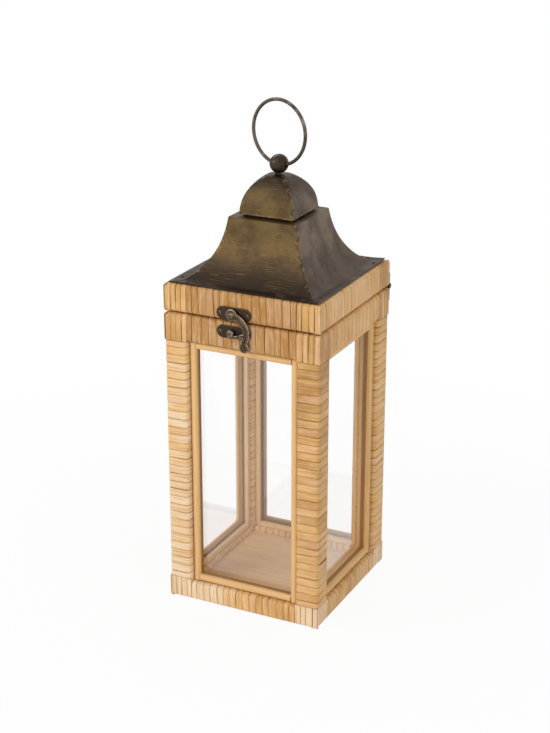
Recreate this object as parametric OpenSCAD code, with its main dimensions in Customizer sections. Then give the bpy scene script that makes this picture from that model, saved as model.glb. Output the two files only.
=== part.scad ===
/* [Body] */
// Width of the square body over the peel
body_w = 160; // [150:1:200]
// Height of the body over the peel
body_h = 296; // [240:1:360]
// Width of a corner post over the peel
post_w = 24; // [22:1:30]
// Height of the bottom rails over the peel
sill_h = 20; // [18:1:28]
// Height of the top rails over the peel
head_h = 27; // [26:1:34]
// Thickness of the plywood base board
board_t = 15; // [6:0.5:16]

/* [Peel] */
// Thickness of the rattan peel
peel_t = 1.6; // [1.2:0.1:2]
// Gap between neighbouring turns
turn_gap = 0.7; // [0.5:0.1:1.2]
// Turns wound round each post
post_turns = 22; // [12:1:24]
// Turns wound round each bottom rail
sill_turns = 15; // [8:1:18]
// Turns wound round each top rail
head_turns = 14; // [8:1:18]
// Turns wound round each lid rail
lid_turns = 14; // [8:1:18]
// Strips laid over each outer face of a corner
corner_strips = 4; // [3:1:5]
// How far the corner strips reach past the bottom rails
foot_over = 2; // [1:0.5:6]

/* [Windows] */
// Thickness of a glass pane
glass_t = 2; // [1.5:0.5:3]
// Width of the half-round trim round a window
trim_w = 7; // [5:0.5:10]
// Depth of the trim from its crown to the glass
trim_d = 8.5; // [6:0.5:9]
// How far the trim's crown lies behind the posts
trim_set = 4.5; // [2:0.5:5]
// Rise of the trim's rounded face
trim_crown = 2; // [1:0.5:3]
// Side of the square bead behind the glass
bead_w = 4; // [3:0.5:5]

/* [Lid] */
// Height of the lid rails over the peel
lid_h = 27; // [24:1:36]
// Gap between body and lid
seam = 1; // [0.8:0.1:2]

/* [Roof] */
// Distance of the sheet's flange from the outside of the lid
flange_in = 3.5; // [3:0.5:8]
// Thickness of the roof sheet
sheet_t = 1; // [0.8:0.1:1.4]
// Distance of the flare's foot from the flange's edge
flare_in = 10.5; // [8:0.5:14]
// Height of the flare with its flat top
flare_h = 57; // [45:1:75]
// Width of the flat top of the flare
step_w = 71; // [66:1:80]
// How far the flare's knee lies outside the flat top
knee_out = 5.5; // [3:0.5:8]
// Height of the flare's knee
knee_h = 16; // [12:1:24]
// Width of the square dome
dome_w = 56; // [48:1:60]
// Height of the dome
dome_h = 36; // [28:1:44]
// Width of the flat top of the dome
dome_top_w = 22; // [8:1:26]
// Width of the ledge that carries the dome inside its foot
dome_seat = 6; // [4:0.5:10]
// Distance of a roof nail from the flange's edge
nail_in = 5.5; // [4.5:0.5:6]
// Distance of a roof nail from the inner side of its corner
nail_side = 3.5; // [2.5:0.5:5]

/* [Carrying ring] */
// Diameter of the ball on the dome
ball_d = 18; // [16:0.5:22]
// Diameter of the ball's neck
neck_d = 7; // [5:0.5:7]
// Height of the neck under the ball
neck_h = 1; // [0.5:0.5:4]
// Diameter of the ring at the middle of its wire
ring_d = 60; // [50:1:70]
// Diameter of the ring's wire
wire_d = 3.4; // [3:0.1:4]
// Turn of the ring about the upright axis
ring_turn = -12; // [-45:1:45]

/* [Latch] */
// Length of a latch plate
plate_l = 35; // [33:1:40]
// Height of a latch plate
plate_h = 12.5; // [12:0.5:14]
// Thickness of a latch plate
plate_t = 1.2; // [1:0.1:1.6]
// Sideways place of the two plates
plate_x = -6; // [-20:1:20]
// Distance of the catch plate's middle under the body's top
catch_drop = 9; // [8.5:0.5:12]
// Distance of the lid plate's middle over the lid's underside
latch_rise = 7.6; // [7:0.1:10]
// Sideways place of the hook's pivot from the lid plate's middle
pivot_dx = -1.1; // [-6:0.1:0]
// Distance of the pivot under the lid plate's middle
pivot_dz = 0; // [0:0.1:3]
// Distance from the pivot to the catch stud
hook_reach = 18; // [17:0.5:20]
// Sideways distance of the stud from under the pivot
stud_lean = 1; // [0.5:0.1:2]
// Diameter of the stud's shank and the pivot
stud_d = 3.2; // [2.8:0.1:3.6]
// Length of the stud's shank behind its plate
stud_l = 12; // [9:0.5:14]
// Diameter of the stud's round head
stud_head_d = 7.2; // [6:0.1:8]
// Height of the round heads of stud and pivot
stud_head_h = 2; // [1.5:0.1:2.5]
// Width of the pivot's collar round its shank
collar_w = 1.6; // [1.2:0.1:2]

/* [Hook] */
// Thickness of the hook
hook_t = 1.6; // [1.2:0.1:2]
// Air between the plates and the hook
hook_lift = 1.5; // [1.4:0.1:2]
// Diameter of the hook's head
hook_head_d = 11; // [9:0.1:12]
// Width of the arm that curves round the stud
arm_w = 6.4; // [5:0.1:7]
// Radius of the arm's curve along its middle
arm_r = 15.6; // [15:0.1:17]
// Sideways place of the centre of the arm's curve
arm_dx = -0.5; // [-1:0.1:0]
// Height of the centre of the arm's curve over the stud
arm_rise = 1.5; // [1:0.1:2.5]
// Width of the claw under the stud
claw_w = 3.4; // [2.8:0.1:4]
// Diameter of the finger tab
tab_d = 10; // [8:0.5:12]
// Sideways place of the tab from the pivot
tab_dx = 12.8; // [12:0.1:13.6]
// Distance of the tab under the stud
tab_drop = 12; // [11:0.5:15]
// Width of the neck over the tab
hook_neck_w = 4.4; // [3.6:0.1:5]

/* [Hinges] */
// Length of a hinge
hinge_w = 25; // [22:1:30]
// Distance of a hinge from the side of the body
hinge_inset = 0.5; // [0:0.5:6]
// Height of a hinge leaf
leaf_h = 14; // [12:1:16]
// Thickness of a hinge leaf
leaf_t = 1.4; // [1:0.1:1.8]
// Diameter of the hinge knuckles
knuckle_d = 5; // [4.6:0.1:6]
// Air between the knuckles and the back of the body
knuckle_air = 0.4; // [0.3:0.1:1]
// Diameter of the hinge pins
pin_d = 2.4; // [2:0.1:2.8]

/* [Tacks] */
// Distance of a tack from the end of its plate or leaf
tack_in = 3.5; // [3:0.1:4.5]
// Diameter of a tack's shank
tack_d = 1.8; // [1.4:0.1:2]
// Length of a tack under its head
tack_l = 10; // [8:1:14]
// Diameter of a tack's head
tack_head_d = 4; // [3.4:0.1:4.4]
// Height of a tack's head
tack_head_h = 1; // [0.8:0.1:1]

/* [Hidden] */
$fn = 48;

// Running play of a pin or rivet, the air that other parts keep, and a hairline joint
play = 0.05;
air = 0.3;
joint = 0.1;
// Small overrun that lets a cut pass its face
over = 0.5;

half = body_w / 2;
core_half = half - peel_t;
post_core = post_w - 2 * peel_t;
post_mid = half - post_w / 2;
bay = body_w - 2 * post_w;
rail_core_l = bay + 2 * peel_t;
foot_wrap_h = sill_h + foot_over;
head_z = body_h - head_h;
lid_z = body_h + seam;
flange_w = body_w - 2 * flange_in;
flare_w = flange_w - 2 * flare_in;
roof_z = lid_z + lid_h;
step_z = roof_z + flare_h;
ball_z = step_z + dome_h + neck_h + ball_d / 2;

glass_out = half - trim_set - trim_d;
bead_out = glass_out - glass_t;

// Hinge axis, clear of the body's back face
hinge_y = half + knuckle_d / 2 + knuckle_air;
hinge_z = body_h + seam / 2;
hinge_x = half - hinge_inset - hinge_w / 2;
hinge_knuckles = 5;
knuckle_pitch = hinge_w / hinge_knuckles;
leaf_edge = knuckle_d / 2 + knuckle_air;
leaf_tack_z = leaf_edge + (leaf_h - leaf_edge) / 2;
hinge_tack_dx = hinge_w / 2 - tack_in;

// Latch pivot and stud on the front face
pivot_x = plate_x + pivot_dx;
pivot_z = lid_z + latch_rise - pivot_dz;
stud_x = pivot_x - stud_lean;
stud_z = pivot_z - hook_reach;
plate_y = -half - plate_t;
hook_y = plate_y - hook_lift;
plate_tack_dx = plate_l / 2 - tack_in;

// The ring sinks by half of its own rise inside the ball, so a round bore clears it both ways
ring_rise = ring_d / 2 - sqrt(pow(ring_d / 2, 2) - pow(ball_d / 2, 2));
ring_z = ball_z + ring_d / 2 - ring_rise / 2;
ball_bore_d = wire_d + ring_rise + 2 * air;

// A tack's place is its seat, the way its head faces and the node group that it holds
front = [90, 0, 0];
back = [-90, 0, 0];
up = [0, 0, 0];
leaf_y = half + leaf_t;
body_tack_sites = concat(
    [for (sx = [-1, 1], dx = [-1, 1])
        [[sx * hinge_x + dx * hinge_tack_dx, leaf_y, hinge_z - leaf_tack_z], back]],
    [for (dx = [-1, 1]) [[plate_x + dx * plate_tack_dx, plate_y, body_h - catch_drop], front]]
);
lid_tack_sites = concat(
    [for (sx = [-1, 1], dx = [-1, 1])
        [[sx * hinge_x + dx * hinge_tack_dx, leaf_y, hinge_z + leaf_tack_z], back]],
    [for (dx = [-1, 1]) [[plate_x + dx * plate_tack_dx, plate_y, lid_z + latch_rise], front]]
);
nail_out = flange_w / 2 - nail_in;
nail_near = half - post_w + nail_side;
roof_nail_sites = [
    for (sx = [-1, 1], sy = [-1, 1], swap = [0, 1])
        [[sx * (swap ? nail_out : nail_near), sy * (swap ? nail_near : nail_out), roof_z + sheet_t], up]
];

peel_colour = [0.85, 0.68, 0.45];
wood_colour = [0.78, 0.62, 0.42];
trim_colour = [0.82, 0.63, 0.36];
glass_colour = [0.8, 0.88, 0.9, 0.35];
bronze_colour = [0.27, 0.22, 0.17];

// Winding of flat peel round a rail
// One flat strip goes round a rectangular core of half sides a and b, one ring of four points
// at each corner of the core. The first and last runs lie level and the rest climb.
corners = [[1, -1], [1, 1], [-1, 1], [-1, -1]];
function pitch(l, n) = (l + turn_gap) / (n + 1);
function rise(i, n, p) =
    i <= 4 ? max(0, i - 1) * p / 3
    : i >= 4 * n - 4 ? (n - 1) * p + min(3, i - 4 * n + 4) * p / 3
    : i * p / 4;
function at_corner(i, a, b, z) = [corners[i % 4][0] * a, corners[i % 4][1] * b, z];
function strip_ring(i, a, b, l, n) =
    let (p = pitch(l, n), w = p - turn_gap, z = rise(i, n, p) - l / 2)
    [
        at_corner(i, a, b, z),
        at_corner(i, a + peel_t, b + peel_t, z),
        at_corner(i, a + peel_t, b + peel_t, z + w),
        at_corner(i, a, b, z + w)
    ];
function between(p, q, f) = p * (1 - f) + q * f;

// Least distance from the upper edge of each run to the lower edge of the run one turn on
function least_gap(a, b, l, n) =
    min([
        for (i = [0 : 4 * n - 5])
            let (
                lower = strip_ring(i, a, b, l, n),
                lower_next = strip_ring(i + 1, a, b, l, n),
                upper = strip_ring(i + 4, a, b, l, n),
                upper_next = strip_ring(min(i + 5, 4 * n), a, b, l, n)
            )
            for (f = [0 : 0.25 : i == 4 * n - 4 ? 0 : 1], g = [0 : 0.05 : 1])
                norm(between(lower[3], lower_next[3], f) - between(upper[0], upper_next[0], g))
    ]);

module winding(a, b, l, n) {
    rings = 4 * n + 1;
    points = [for (i = [0 : rings - 1]) each strip_ring(i, a, b, l, n)];
    last = 4 * (rings - 1);
    faces = concat(
        [[0, 3, 2], [0, 2, 1]],
        [
            for (i = [0 : rings - 2], j = [0 : 3])
                let (p = 4 * i + j, q = 4 * i + (j + 1) % 4)
                each [[p, q, q + 4], [p, q + 4, p + 4]]
        ],
        [[last, last + 1, last + 2], [last, last + 2, last + 3]]
    );
    polyhedron(points, faces);
}

post_wind_l = head_z - foot_wrap_h - 2 * air;
post_half = post_core / 2;
sill_half = sill_h / 2 - peel_t;
head_half = head_h / 2 - peel_t;
lid_half = lid_h / 2 - peel_t;
echo(str("least gap, post winding: ", least_gap(post_half, post_half, post_wind_l, post_turns)));
echo(str("least gap, sill winding: ", least_gap(sill_half, post_half, bay, sill_turns)));
echo(str("least gap, head winding: ", least_gap(head_half, post_half, bay, head_turns)));
echo(str("least gap, lid winding: ", least_gap(lid_half, post_half, bay, lid_turns)));

// Placing helpers
module box(lo, hi) {
    translate(lo)
        cube(hi - lo);
}

// Side k of the lantern: 0 front, 1 right, 2 back, 3 left
module on_side(k) {
    rotate([0, 0, 90 * k])
        children();
}

module on_front(x, y, z) {
    translate([x, y, z])
        rotate(front)
            children();
}

module tack() {
    translate([0, 0, -tack_l])
        cylinder(d = tack_d, h = tack_l);
    dome_cap(tack_head_d, tack_head_h);
}

// Low round head on the plane z = 0
module dome_cap(d, h) {
    r = (d * d / 4 + h * h) / (2 * h);
    intersection() {
        translate([0, 0, h - r])
            sphere(r = r, $fn = 64);
        translate([-d, -d, 0])
            cube([2 * d, 2 * d, 2 * h]);
    }
}

module tacks(sites) {
    for (s = sites)
        translate(s[0])
            rotate(s[1])
                tack();
}

module tack_holes(sites) {
    for (s = sites)
        translate(s[0])
            rotate(s[1])
                translate([0, 0, -tack_l - air])
                    cylinder(d = tack_d, h = tack_l + air + over, $fn = 24);
}

module stud_hole() {
    on_front(stud_x, plate_y, stud_z)
        translate([0, 0, -stud_l - air])
            cylinder(d = stud_d, h = stud_l + air + over);
}

module rivet_hole() {
    on_front(pivot_x, plate_y, pivot_z)
        translate([0, 0, -stud_l - air])
            cylinder(d = stud_d, h = stud_l + air + over);
}

// Body frame
module base_board() {
    color(wood_colour)
        box([-bay / 2, -bay / 2, 0], [bay / 2, bay / 2, board_t]);
}

module post(sx, sy) {
    color(wood_colour)
        difference() {
            translate([sx * post_mid - post_core / 2, sy * post_mid - post_core / 2, peel_t])
                cube([post_core, post_core, body_h - 2 * peel_t]);
            tack_holes(body_tack_sites);
        }
}

module post_peel(sx, sy) {
    color(peel_colour)
        translate([sx * post_mid, sy * post_mid, foot_wrap_h + air + post_wind_l / 2])
            rotate([0, 0, sx * sy < 0 ? 0 : 90])
                winding(post_half, post_half, post_wind_l, post_turns);
}

// Rail between two posts, its core from z0 over a height of h over the peel
module rail_core(k, z0, h) {
    on_side(k)
        box([-rail_core_l / 2, -core_half, z0 + peel_t],
            [rail_core_l / 2, -core_half + post_core, z0 + h - peel_t]);
}

module rail_peel(k, z0, h, n) {
    on_side(k)
        translate([0, -post_mid, z0 + h / 2])
            rotate([0, 90, 0])
                winding(h / 2 - peel_t, post_half, bay, n);
}

module sill(k) {
    color(wood_colour)
        rail_core(k, 0, sill_h);
}

module sill_peel(k) {
    color(peel_colour)
        rail_peel(k, 0, sill_h, sill_turns);
}

module head(k) {
    color(wood_colour)
        difference() {
            rail_core(k, head_z, head_h);
            tack_holes(body_tack_sites);
            stud_hole();
        }
}

module head_peel(k) {
    color(peel_colour)
        difference() {
            rail_peel(k, head_z, head_h, head_turns);
            if (k == 0) {
                tack_holes(body_tack_sites);
                stud_hole();
            }
        }
}

// Upright strips over the two outer faces of a corner, from z0 to z0 + h. Those on the front
// and back turn in over the end of the post where a return is asked for.
module corner_peel(sx, sy, z0, h, top_return, foot_return) {
    face_pitch = post_w / corner_strips;
    side_pitch = (post_w - peel_t) / corner_strips;
    mirror([sx < 0 ? 1 : 0, 0, 0])
        mirror([0, sy > 0 ? 1 : 0, 0]) {
            for (i = [0 : corner_strips - 1]) {
                x0 = half - post_w + i * face_pitch + turn_gap / 2;
                x1 = x0 + face_pitch - turn_gap;
                box([x0, -half, z0], [x1, -core_half, z0 + h]);
                if (top_return)
                    box([x0, -half, z0 + h - peel_t], [x1, -half + post_w, z0 + h]);
                if (foot_return)
                    box([x0, -half, z0], [x1, -half + post_w, z0 + peel_t]);
            }
            for (i = [0 : corner_strips - 1]) {
                y0 = -core_half + i * side_pitch + turn_gap / 2;
                y1 = y0 + side_pitch - turn_gap;
                box([core_half, y0, z0 + (foot_return ? peel_t + joint : 0)],
                    [half, y1, z0 + h - (top_return ? peel_t + joint : 0)]);
            }
        }
}

module corner_peel_top() {
    color(peel_colour)
        difference() {
            for (sx = [-1, 1], sy = [-1, 1])
                corner_peel(sx, sy, head_z, head_h, true, false);
            tack_holes(body_tack_sites);
        }
}

module corner_peel_foot() {
    color(peel_colour)
        for (sx = [-1, 1], sy = [-1, 1])
            corner_peel(sx, sy, 0, foot_wrap_h, false, true);
}

// Windows
module pane(k) {
    color(glass_colour)
        on_side(k)
            box([-bay / 2 + air, -glass_out, sill_h + air],
                [bay / 2 - air, -bead_out, head_z - air]);
}

// Section of the trim: flat on the glass and on its outer edge, round on its face
module trim_section() {
    r = (trim_w * trim_w / 4 + trim_crown * trim_crown) / (2 * trim_crown);
    translate([0, -trim_d])
        square([trim_w, trim_d - trim_crown]);
    intersection() {
        translate([trim_w / 2, -r])
            circle(r = r, $fn = 96);
        translate([0, -trim_d + over])
            square([trim_w, trim_d]);
    }
}

// Four strips round one window: the uprights run through and the level ones butt between them
module window_trim(k) {
    opening_h = head_z - sill_h;
    color(trim_colour)
        on_side(k) {
            for (m = [0, 1])
                mirror([m, 0, 0])
                    translate([-bay / 2, -half + trim_set, sill_h])
                        mirror([0, 1, 0])
                            linear_extrude(opening_h)
                                trim_section();
            for (m = [0, 1])
                translate([-bay / 2 + trim_w + joint, -half + trim_set, m ? head_z : sill_h])
                    mirror([0, 0, m])
                        rotate([90, 0, 90])
                            linear_extrude(bay - 2 * trim_w - 2 * joint)
                                rotate(90)
                                    trim_section();
        }
}

module glazing_beads() {
    bead_in = bead_out - bead_w;
    color(trim_colour)
        for (k = [0 : 3])
            on_side(k) {
                for (m = [0, 1])
                    mirror([m, 0, 0])
                        box([bay / 2 - bead_w, -bead_out, sill_h], [bay / 2, -bead_in, head_z]);
                for (z = [sill_h, head_z - bead_w])
                    box([-bay / 2 + bead_w + joint, -bead_out, z],
                        [bay / 2 - bead_w - joint, -bead_in, z + bead_w]);
            }
}

// Lid frame
module lid_rail(k) {
    color(wood_colour)
        difference() {
            on_side(k)
                box([-core_half, -core_half, lid_z + peel_t],
                    [core_half - post_core, -core_half + post_core, roof_z - peel_t]);
            tack_holes(lid_tack_sites);
            tack_holes(roof_nail_sites);
            rivet_hole();
        }
}

module lid_peel(k) {
    color(peel_colour)
        difference() {
            rail_peel(k, lid_z, lid_h, lid_turns);
            if (k == 0) {
                tack_holes(lid_tack_sites);
                rivet_hole();
            }
        }
}

module corner_peel_lid() {
    color(peel_colour)
        difference() {
            for (sx = [-1, 1], sy = [-1, 1])
                corner_peel(sx, sy, lid_z, lid_h, true, true);
            tack_holes(lid_tack_sites);
            tack_holes(roof_nail_sites);
        }
}

// Roof
// Solid that is square at every height, from an outline of [half width, height] from foot to top
module square_turned(outline) {
    sides = concat(outline, [for (i = [len(outline) - 1 : -1 : 0]) [-outline[i][0], outline[i][1]]]);
    wide = 2 * max([for (p = outline) p[0]]) + 2 * over;
    intersection_for (turn = [0, 90])
        rotate([90, 0, turn])
            translate([0, 0, -wide / 2])
                linear_extrude(wide)
                    polygon(sides);
}

// Outline moved in by a sheet's thickness, square to each stretch
function inset(line, t) = [
    for (i = [0 : len(line) - 1])
        let (
            d = line[min(i + 1, len(line) - 1)] - line[max(i - 1, 0)],
            n = [-d[1], d[0]] / norm(d)
        )
        line[i] + n * t
];

flare_steps = 10;
flare_line = [
    for (i = [0 : flare_steps])
        let (f = i / flare_steps, foot = [flare_w / 2, sheet_t], top = [step_w / 2, flare_h])
        foot * (1 - f) * (1 - f) + [step_w / 2 + knee_out, knee_h] * 2 * f * (1 - f) + top * f * f
];
flare_inner = inset(flare_line, sheet_t);
dome_hole_w = dome_w - 2 * dome_seat;

module roof_flare() {
    inner_top = flare_inner[flare_steps][0];
    hollow = concat(
        [[flare_inner[0][0], -over], flare_inner[0]],
        [for (p = flare_inner) if (p[1] > flare_inner[0][1] && p[1] < flare_h - sheet_t) p],
        [[inner_top, flare_h - sheet_t]]
    );
    color(bronze_colour)
        difference() {
            translate([0, 0, roof_z])
                difference() {
                    square_turned(concat([[flange_w / 2, 0], [flange_w / 2, sheet_t]], flare_line));
                    square_turned(hollow);
                    box([-dome_hole_w / 2, -dome_hole_w / 2, flare_h - 2 * sheet_t],
                        [dome_hole_w / 2, dome_hole_w / 2, flare_h + over]);
                }
            tack_holes(roof_nail_sites);
        }
}

// The dome's side is part of an oval, from a square foot up to the edge of its flat top
dome_steps = 10;
dome_turn = acos(dome_top_w / dome_w);
dome_line = [
    for (i = [0 : dome_steps])
        let (t = i * dome_turn / dome_steps)
        [dome_w / 2 * cos(t), dome_h * sin(t) / sin(dome_turn)]
];
dome_inner = inset(dome_line, sheet_t);

module roof_dome() {
    hollow = concat(
        [[dome_w / 2 - sheet_t, -over]],
        [for (p = dome_inner) if (p[1] > 0 && p[1] < dome_h - sheet_t && p[0] > dome_top_w / 2) p],
        [[dome_top_w / 2, dome_h - sheet_t]]
    );
    color(bronze_colour)
        translate([0, 0, step_z])
            difference() {
                square_turned(dome_line);
                square_turned(hollow);
            }
}

module finial_ball() {
    color(bronze_colour)
        difference() {
            union() {
                translate([0, 0, ball_z])
                    sphere(d = ball_d, $fn = 96);
                translate([0, 0, step_z + dome_h])
                    cylinder(d = neck_d, h = neck_h + ball_d / 4);
            }
            translate([0, 0, ball_z])
                rotate([0, 90, ring_turn])
                    cylinder(d = ball_bore_d, h = ball_d + 2 * over, center = true);
        }
}

module carry_ring() {
    color(bronze_colour)
        translate([0, 0, ring_z])
            rotate([90, 0, ring_turn])
                rotate_extrude($fn = 96)
                    translate([ring_d / 2, 0])
                        circle(d = wire_d, $fn = 32);
}

module roof_nails() {
    color(bronze_colour)
        tacks(roof_nail_sites);
}

// Latch
module latch_blank() {
    straight = plate_l - plate_h;
    translate([-straight / 2, -plate_h / 2, -plate_t])
        cube([straight, plate_h, plate_t]);
    for (sx = [-1, 1])
        translate([sx * straight / 2, 0, -plate_t])
            cylinder(d = plate_h, h = plate_t);
}

module catch_plate() {
    color(bronze_colour)
        difference() {
            on_front(plate_x, plate_y, body_h - catch_drop)
                latch_blank();
            tack_holes(body_tack_sites);
            stud_hole();
        }
}

module latch_plate() {
    color(bronze_colour)
        difference() {
            on_front(plate_x, plate_y, lid_z + latch_rise)
                latch_blank();
            tack_holes(lid_tack_sites);
            rivet_hole();
        }
}

// Pin with a round head: the shank stands out of the plate by the given length
module headed_pin(stand, head_d) {
    translate([0, 0, -stud_l])
        cylinder(d = stud_d, h = stud_l + stand);
    translate([0, 0, stand])
        dome_cap(head_d, stud_head_h);
}

module catch_stud() {
    color(bronze_colour)
        on_front(stud_x, plate_y, stud_z)
            headed_pin(hook_lift + hook_t + air, stud_head_d);
}

collar_d = stud_d + 2 * collar_w;
module latch_rivet() {
    color(bronze_colour)
        on_front(pivot_x, plate_y, pivot_z) {
            headed_pin(hook_lift + hook_t + play, collar_d);
            cylinder(d = collar_d, h = hook_lift - play);
        }
}

// Ring sector of radii r0 and r1 from angle a0 to a1, less than half a turn
module sector(r0, r1, a0, a1) {
    far = 2 * r1;
    mid = (a0 + a1) / 2;
    difference() {
        circle(r = r1, $fn = 96);
        circle(r = r0, $fn = 96);
        for (cut = [[a0, 180], [a1, 0]])
            rotate(cut[0] + cut[1])
                translate([-far, 0])
                    square([2 * far, far]);
    }
}

// The hook's parts lie about its pivot: a head, an arm that curves round the stud, a claw
// under the stud whose inner edge is centred on the pivot, and a finger tab
arm_mid = [arm_dx, arm_rise - hook_reach];
arm_from = -32;
arm_to = 84;
claw_r = norm([stud_lean, hook_reach]) + stud_d / 2 + air;
claw_from = -101;
claw_to = -56;
tab_at = [tab_dx, -hook_reach - tab_drop];
neck_at = arm_mid + arm_r * [cos(arm_from), sin(arm_from)];

module latch_hook() {
    color(bronze_colour)
        on_front(pivot_x, hook_y, pivot_z)
            difference() {
                linear_extrude(hook_t) {
                    circle(d = hook_head_d);
                    translate(arm_mid)
                        sector(arm_r - arm_w / 2, arm_r + arm_w / 2, arm_from, arm_to);
                    sector(claw_r, claw_r + claw_w, claw_from, claw_to);
                    translate(neck_at)
                        circle(d = arm_w);
                    translate(tab_at)
                        circle(d = tab_d);
                    translate([tab_at[0] - hook_neck_w / 2, tab_at[1]])
                        square([hook_neck_w, neck_at[1] - tab_at[1]]);
                }
                translate([0, 0, -over])
                    cylinder(r = stud_d / 2 + play, h = hook_t + 2 * over);
            }
}

// Hinges
// One leaf at the origin, its pin axis along X; up is 1 for the lid's leaf and -1 for the body's
module leaf(dir) {
    plate_back = -leaf_edge;
    first = dir < 0 ? 0 : 1;
    difference() {
        union() {
            mirror([0, 0, dir < 0 ? 1 : 0])
                box([-hinge_w / 2, plate_back, leaf_edge], [hinge_w / 2, plate_back + leaf_t, leaf_h]);
            for (i = [first : 2 : hinge_knuckles - 1]) {
                x0 = -hinge_w / 2 + i * knuckle_pitch + air / 2;
                x1 = x0 + knuckle_pitch - air;
                translate([x0, 0, 0])
                    rotate([0, 90, 0])
                        cylinder(d = knuckle_d, h = x1 - x0);
                mirror([0, 0, dir < 0 ? 1 : 0])
                    box([x0, plate_back, 0], [x1, plate_back + leaf_t, leaf_edge + over]);
            }
        }
        translate([-hinge_w / 2 - over, 0, 0])
            rotate([0, 90, 0])
                cylinder(r = pin_d / 2 + play, h = hinge_w + 2 * over);
    }
}

module hinge_leaves(dir, sites) {
    color(bronze_colour)
        difference() {
            for (sx = [-1, 1])
                translate([sx * hinge_x, hinge_y, hinge_z])
                    leaf(dir);
            tack_holes(sites);
        }
}

module hinge_pins() {
    color(bronze_colour)
        for (sx = [-1, 1])
            translate([sx * hinge_x - hinge_w / 2, hinge_y, hinge_z])
                rotate([0, 90, 0])
                    cylinder(d = pin_d, h = hinge_w);
}

module body_tacks() {
    color(bronze_colour)
        tacks(body_tack_sites);
}

module lid_tacks() {
    color(bronze_colour)
        tacks(lid_tack_sites);
}

base_board();
post(-1, -1);  // post_front_left
post(1, -1);  // post_front_right
post(1, 1);  // post_back_right
post(-1, 1);  // post_back_left
post_peel(-1, -1);  // post_peel_front_left
post_peel(1, -1);  // post_peel_front_right
post_peel(1, 1);  // post_peel_back_right
post_peel(-1, 1);  // post_peel_back_left
sill(0);  // sill_front
sill(1);  // sill_right
sill(2);  // sill_back
sill(3);  // sill_left
sill_peel(0);  // sill_peel_front
sill_peel(1);  // sill_peel_right
sill_peel(2);  // sill_peel_back
sill_peel(3);  // sill_peel_left
head(0);  // head_front
head(1);  // head_right
head(2);  // head_back
head(3);  // head_left
head_peel(0);  // head_peel_front
head_peel(1);  // head_peel_right
head_peel(2);  // head_peel_back
head_peel(3);  // head_peel_left
corner_peel_top();
corner_peel_foot();
pane(0);  // glass_front
pane(1);  // glass_right
pane(2);  // glass_back
pane(3);  // glass_left
window_trim(0);  // window_trim_front
window_trim(1);  // window_trim_right
window_trim(2);  // window_trim_back
window_trim(3);  // window_trim_left
glazing_beads();
catch_plate();
catch_stud();
hinge_leaves(-1, body_tack_sites);  // hinge_leaves_lower
hinge_pins();
body_tacks();
lid_rail(0);  // lid_rail_front
lid_rail(1);  // lid_rail_right
lid_rail(2);  // lid_rail_back
lid_rail(3);  // lid_rail_left
lid_peel(0);  // lid_peel_front
lid_peel(1);  // lid_peel_right
lid_peel(2);  // lid_peel_back
lid_peel(3);  // lid_peel_left
corner_peel_lid();
roof_flare();
roof_dome();
finial_ball();
roof_nails();
latch_plate();
latch_rivet();
hinge_leaves(1, lid_tack_sites);  // hinge_leaves_upper
lid_tacks();
carry_ring();
latch_hook();
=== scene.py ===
"""Candle lantern with a frame wrapped in rattan peel, glass windows and a bronze sheet roof.

The file is laid out as an add-on. Property groups hold the sizes and colours, each operator makes one
piece or one group of like pieces, a panel lists them, and main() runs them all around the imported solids.
"""
import math

import bmesh
import bpy
from mathutils import Matrix, Vector, noise


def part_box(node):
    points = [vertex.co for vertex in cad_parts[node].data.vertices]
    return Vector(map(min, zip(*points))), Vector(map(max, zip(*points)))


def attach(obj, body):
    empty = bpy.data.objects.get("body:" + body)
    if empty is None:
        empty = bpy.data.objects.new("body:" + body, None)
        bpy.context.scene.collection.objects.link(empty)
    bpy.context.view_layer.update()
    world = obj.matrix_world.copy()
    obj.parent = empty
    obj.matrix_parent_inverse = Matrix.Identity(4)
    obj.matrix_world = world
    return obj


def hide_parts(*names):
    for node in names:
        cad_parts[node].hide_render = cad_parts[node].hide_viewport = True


bl_info = {
    "name": "Rattan Candle Lantern",
    "version": (1, 0, 0),
    "blender": (4, 5, 0),
    "location": "View3D > Sidebar > Lantern",
    "description": "Dresses the packed candle lantern with peel windings, roof sheet, glass and fittings",
    "category": "Object",
}

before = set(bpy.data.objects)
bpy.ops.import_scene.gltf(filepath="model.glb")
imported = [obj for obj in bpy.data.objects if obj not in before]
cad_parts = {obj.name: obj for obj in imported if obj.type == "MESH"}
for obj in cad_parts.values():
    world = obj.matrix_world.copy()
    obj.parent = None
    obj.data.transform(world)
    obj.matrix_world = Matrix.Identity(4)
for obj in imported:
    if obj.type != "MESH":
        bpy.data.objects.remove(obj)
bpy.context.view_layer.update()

SIDES = ("front", "right", "back", "left")
POSTS = ("front_right", "back_right", "back_left", "front_left")
QUARTER = math.pi / 2
WHITE = (1.0, 1.0, 1.0, 1.0)
SEEN_RAYS = ("Camera", "Glossy", "Transmission")

# Sizes from the frame
HALF, FOOT_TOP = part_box("corner_peel_foot")[1].x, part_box("corner_peel_foot")[1].z
CORE_HALF = -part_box("sill_front")[0].y
PEEL = HALF - CORE_HALF
POST_W, SILL_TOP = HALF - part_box("sill_peel_front")[1].x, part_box("sill_peel_front")[1].z
ROOF_FOOT, ROOF_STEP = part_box("roof_flare")[0].z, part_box("roof_flare")[1].z
FLANGE_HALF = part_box("roof_flare")[1].x
DOME_HALF, DOME_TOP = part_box("roof_dome")[1].x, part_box("roof_dome")[1].z

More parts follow.
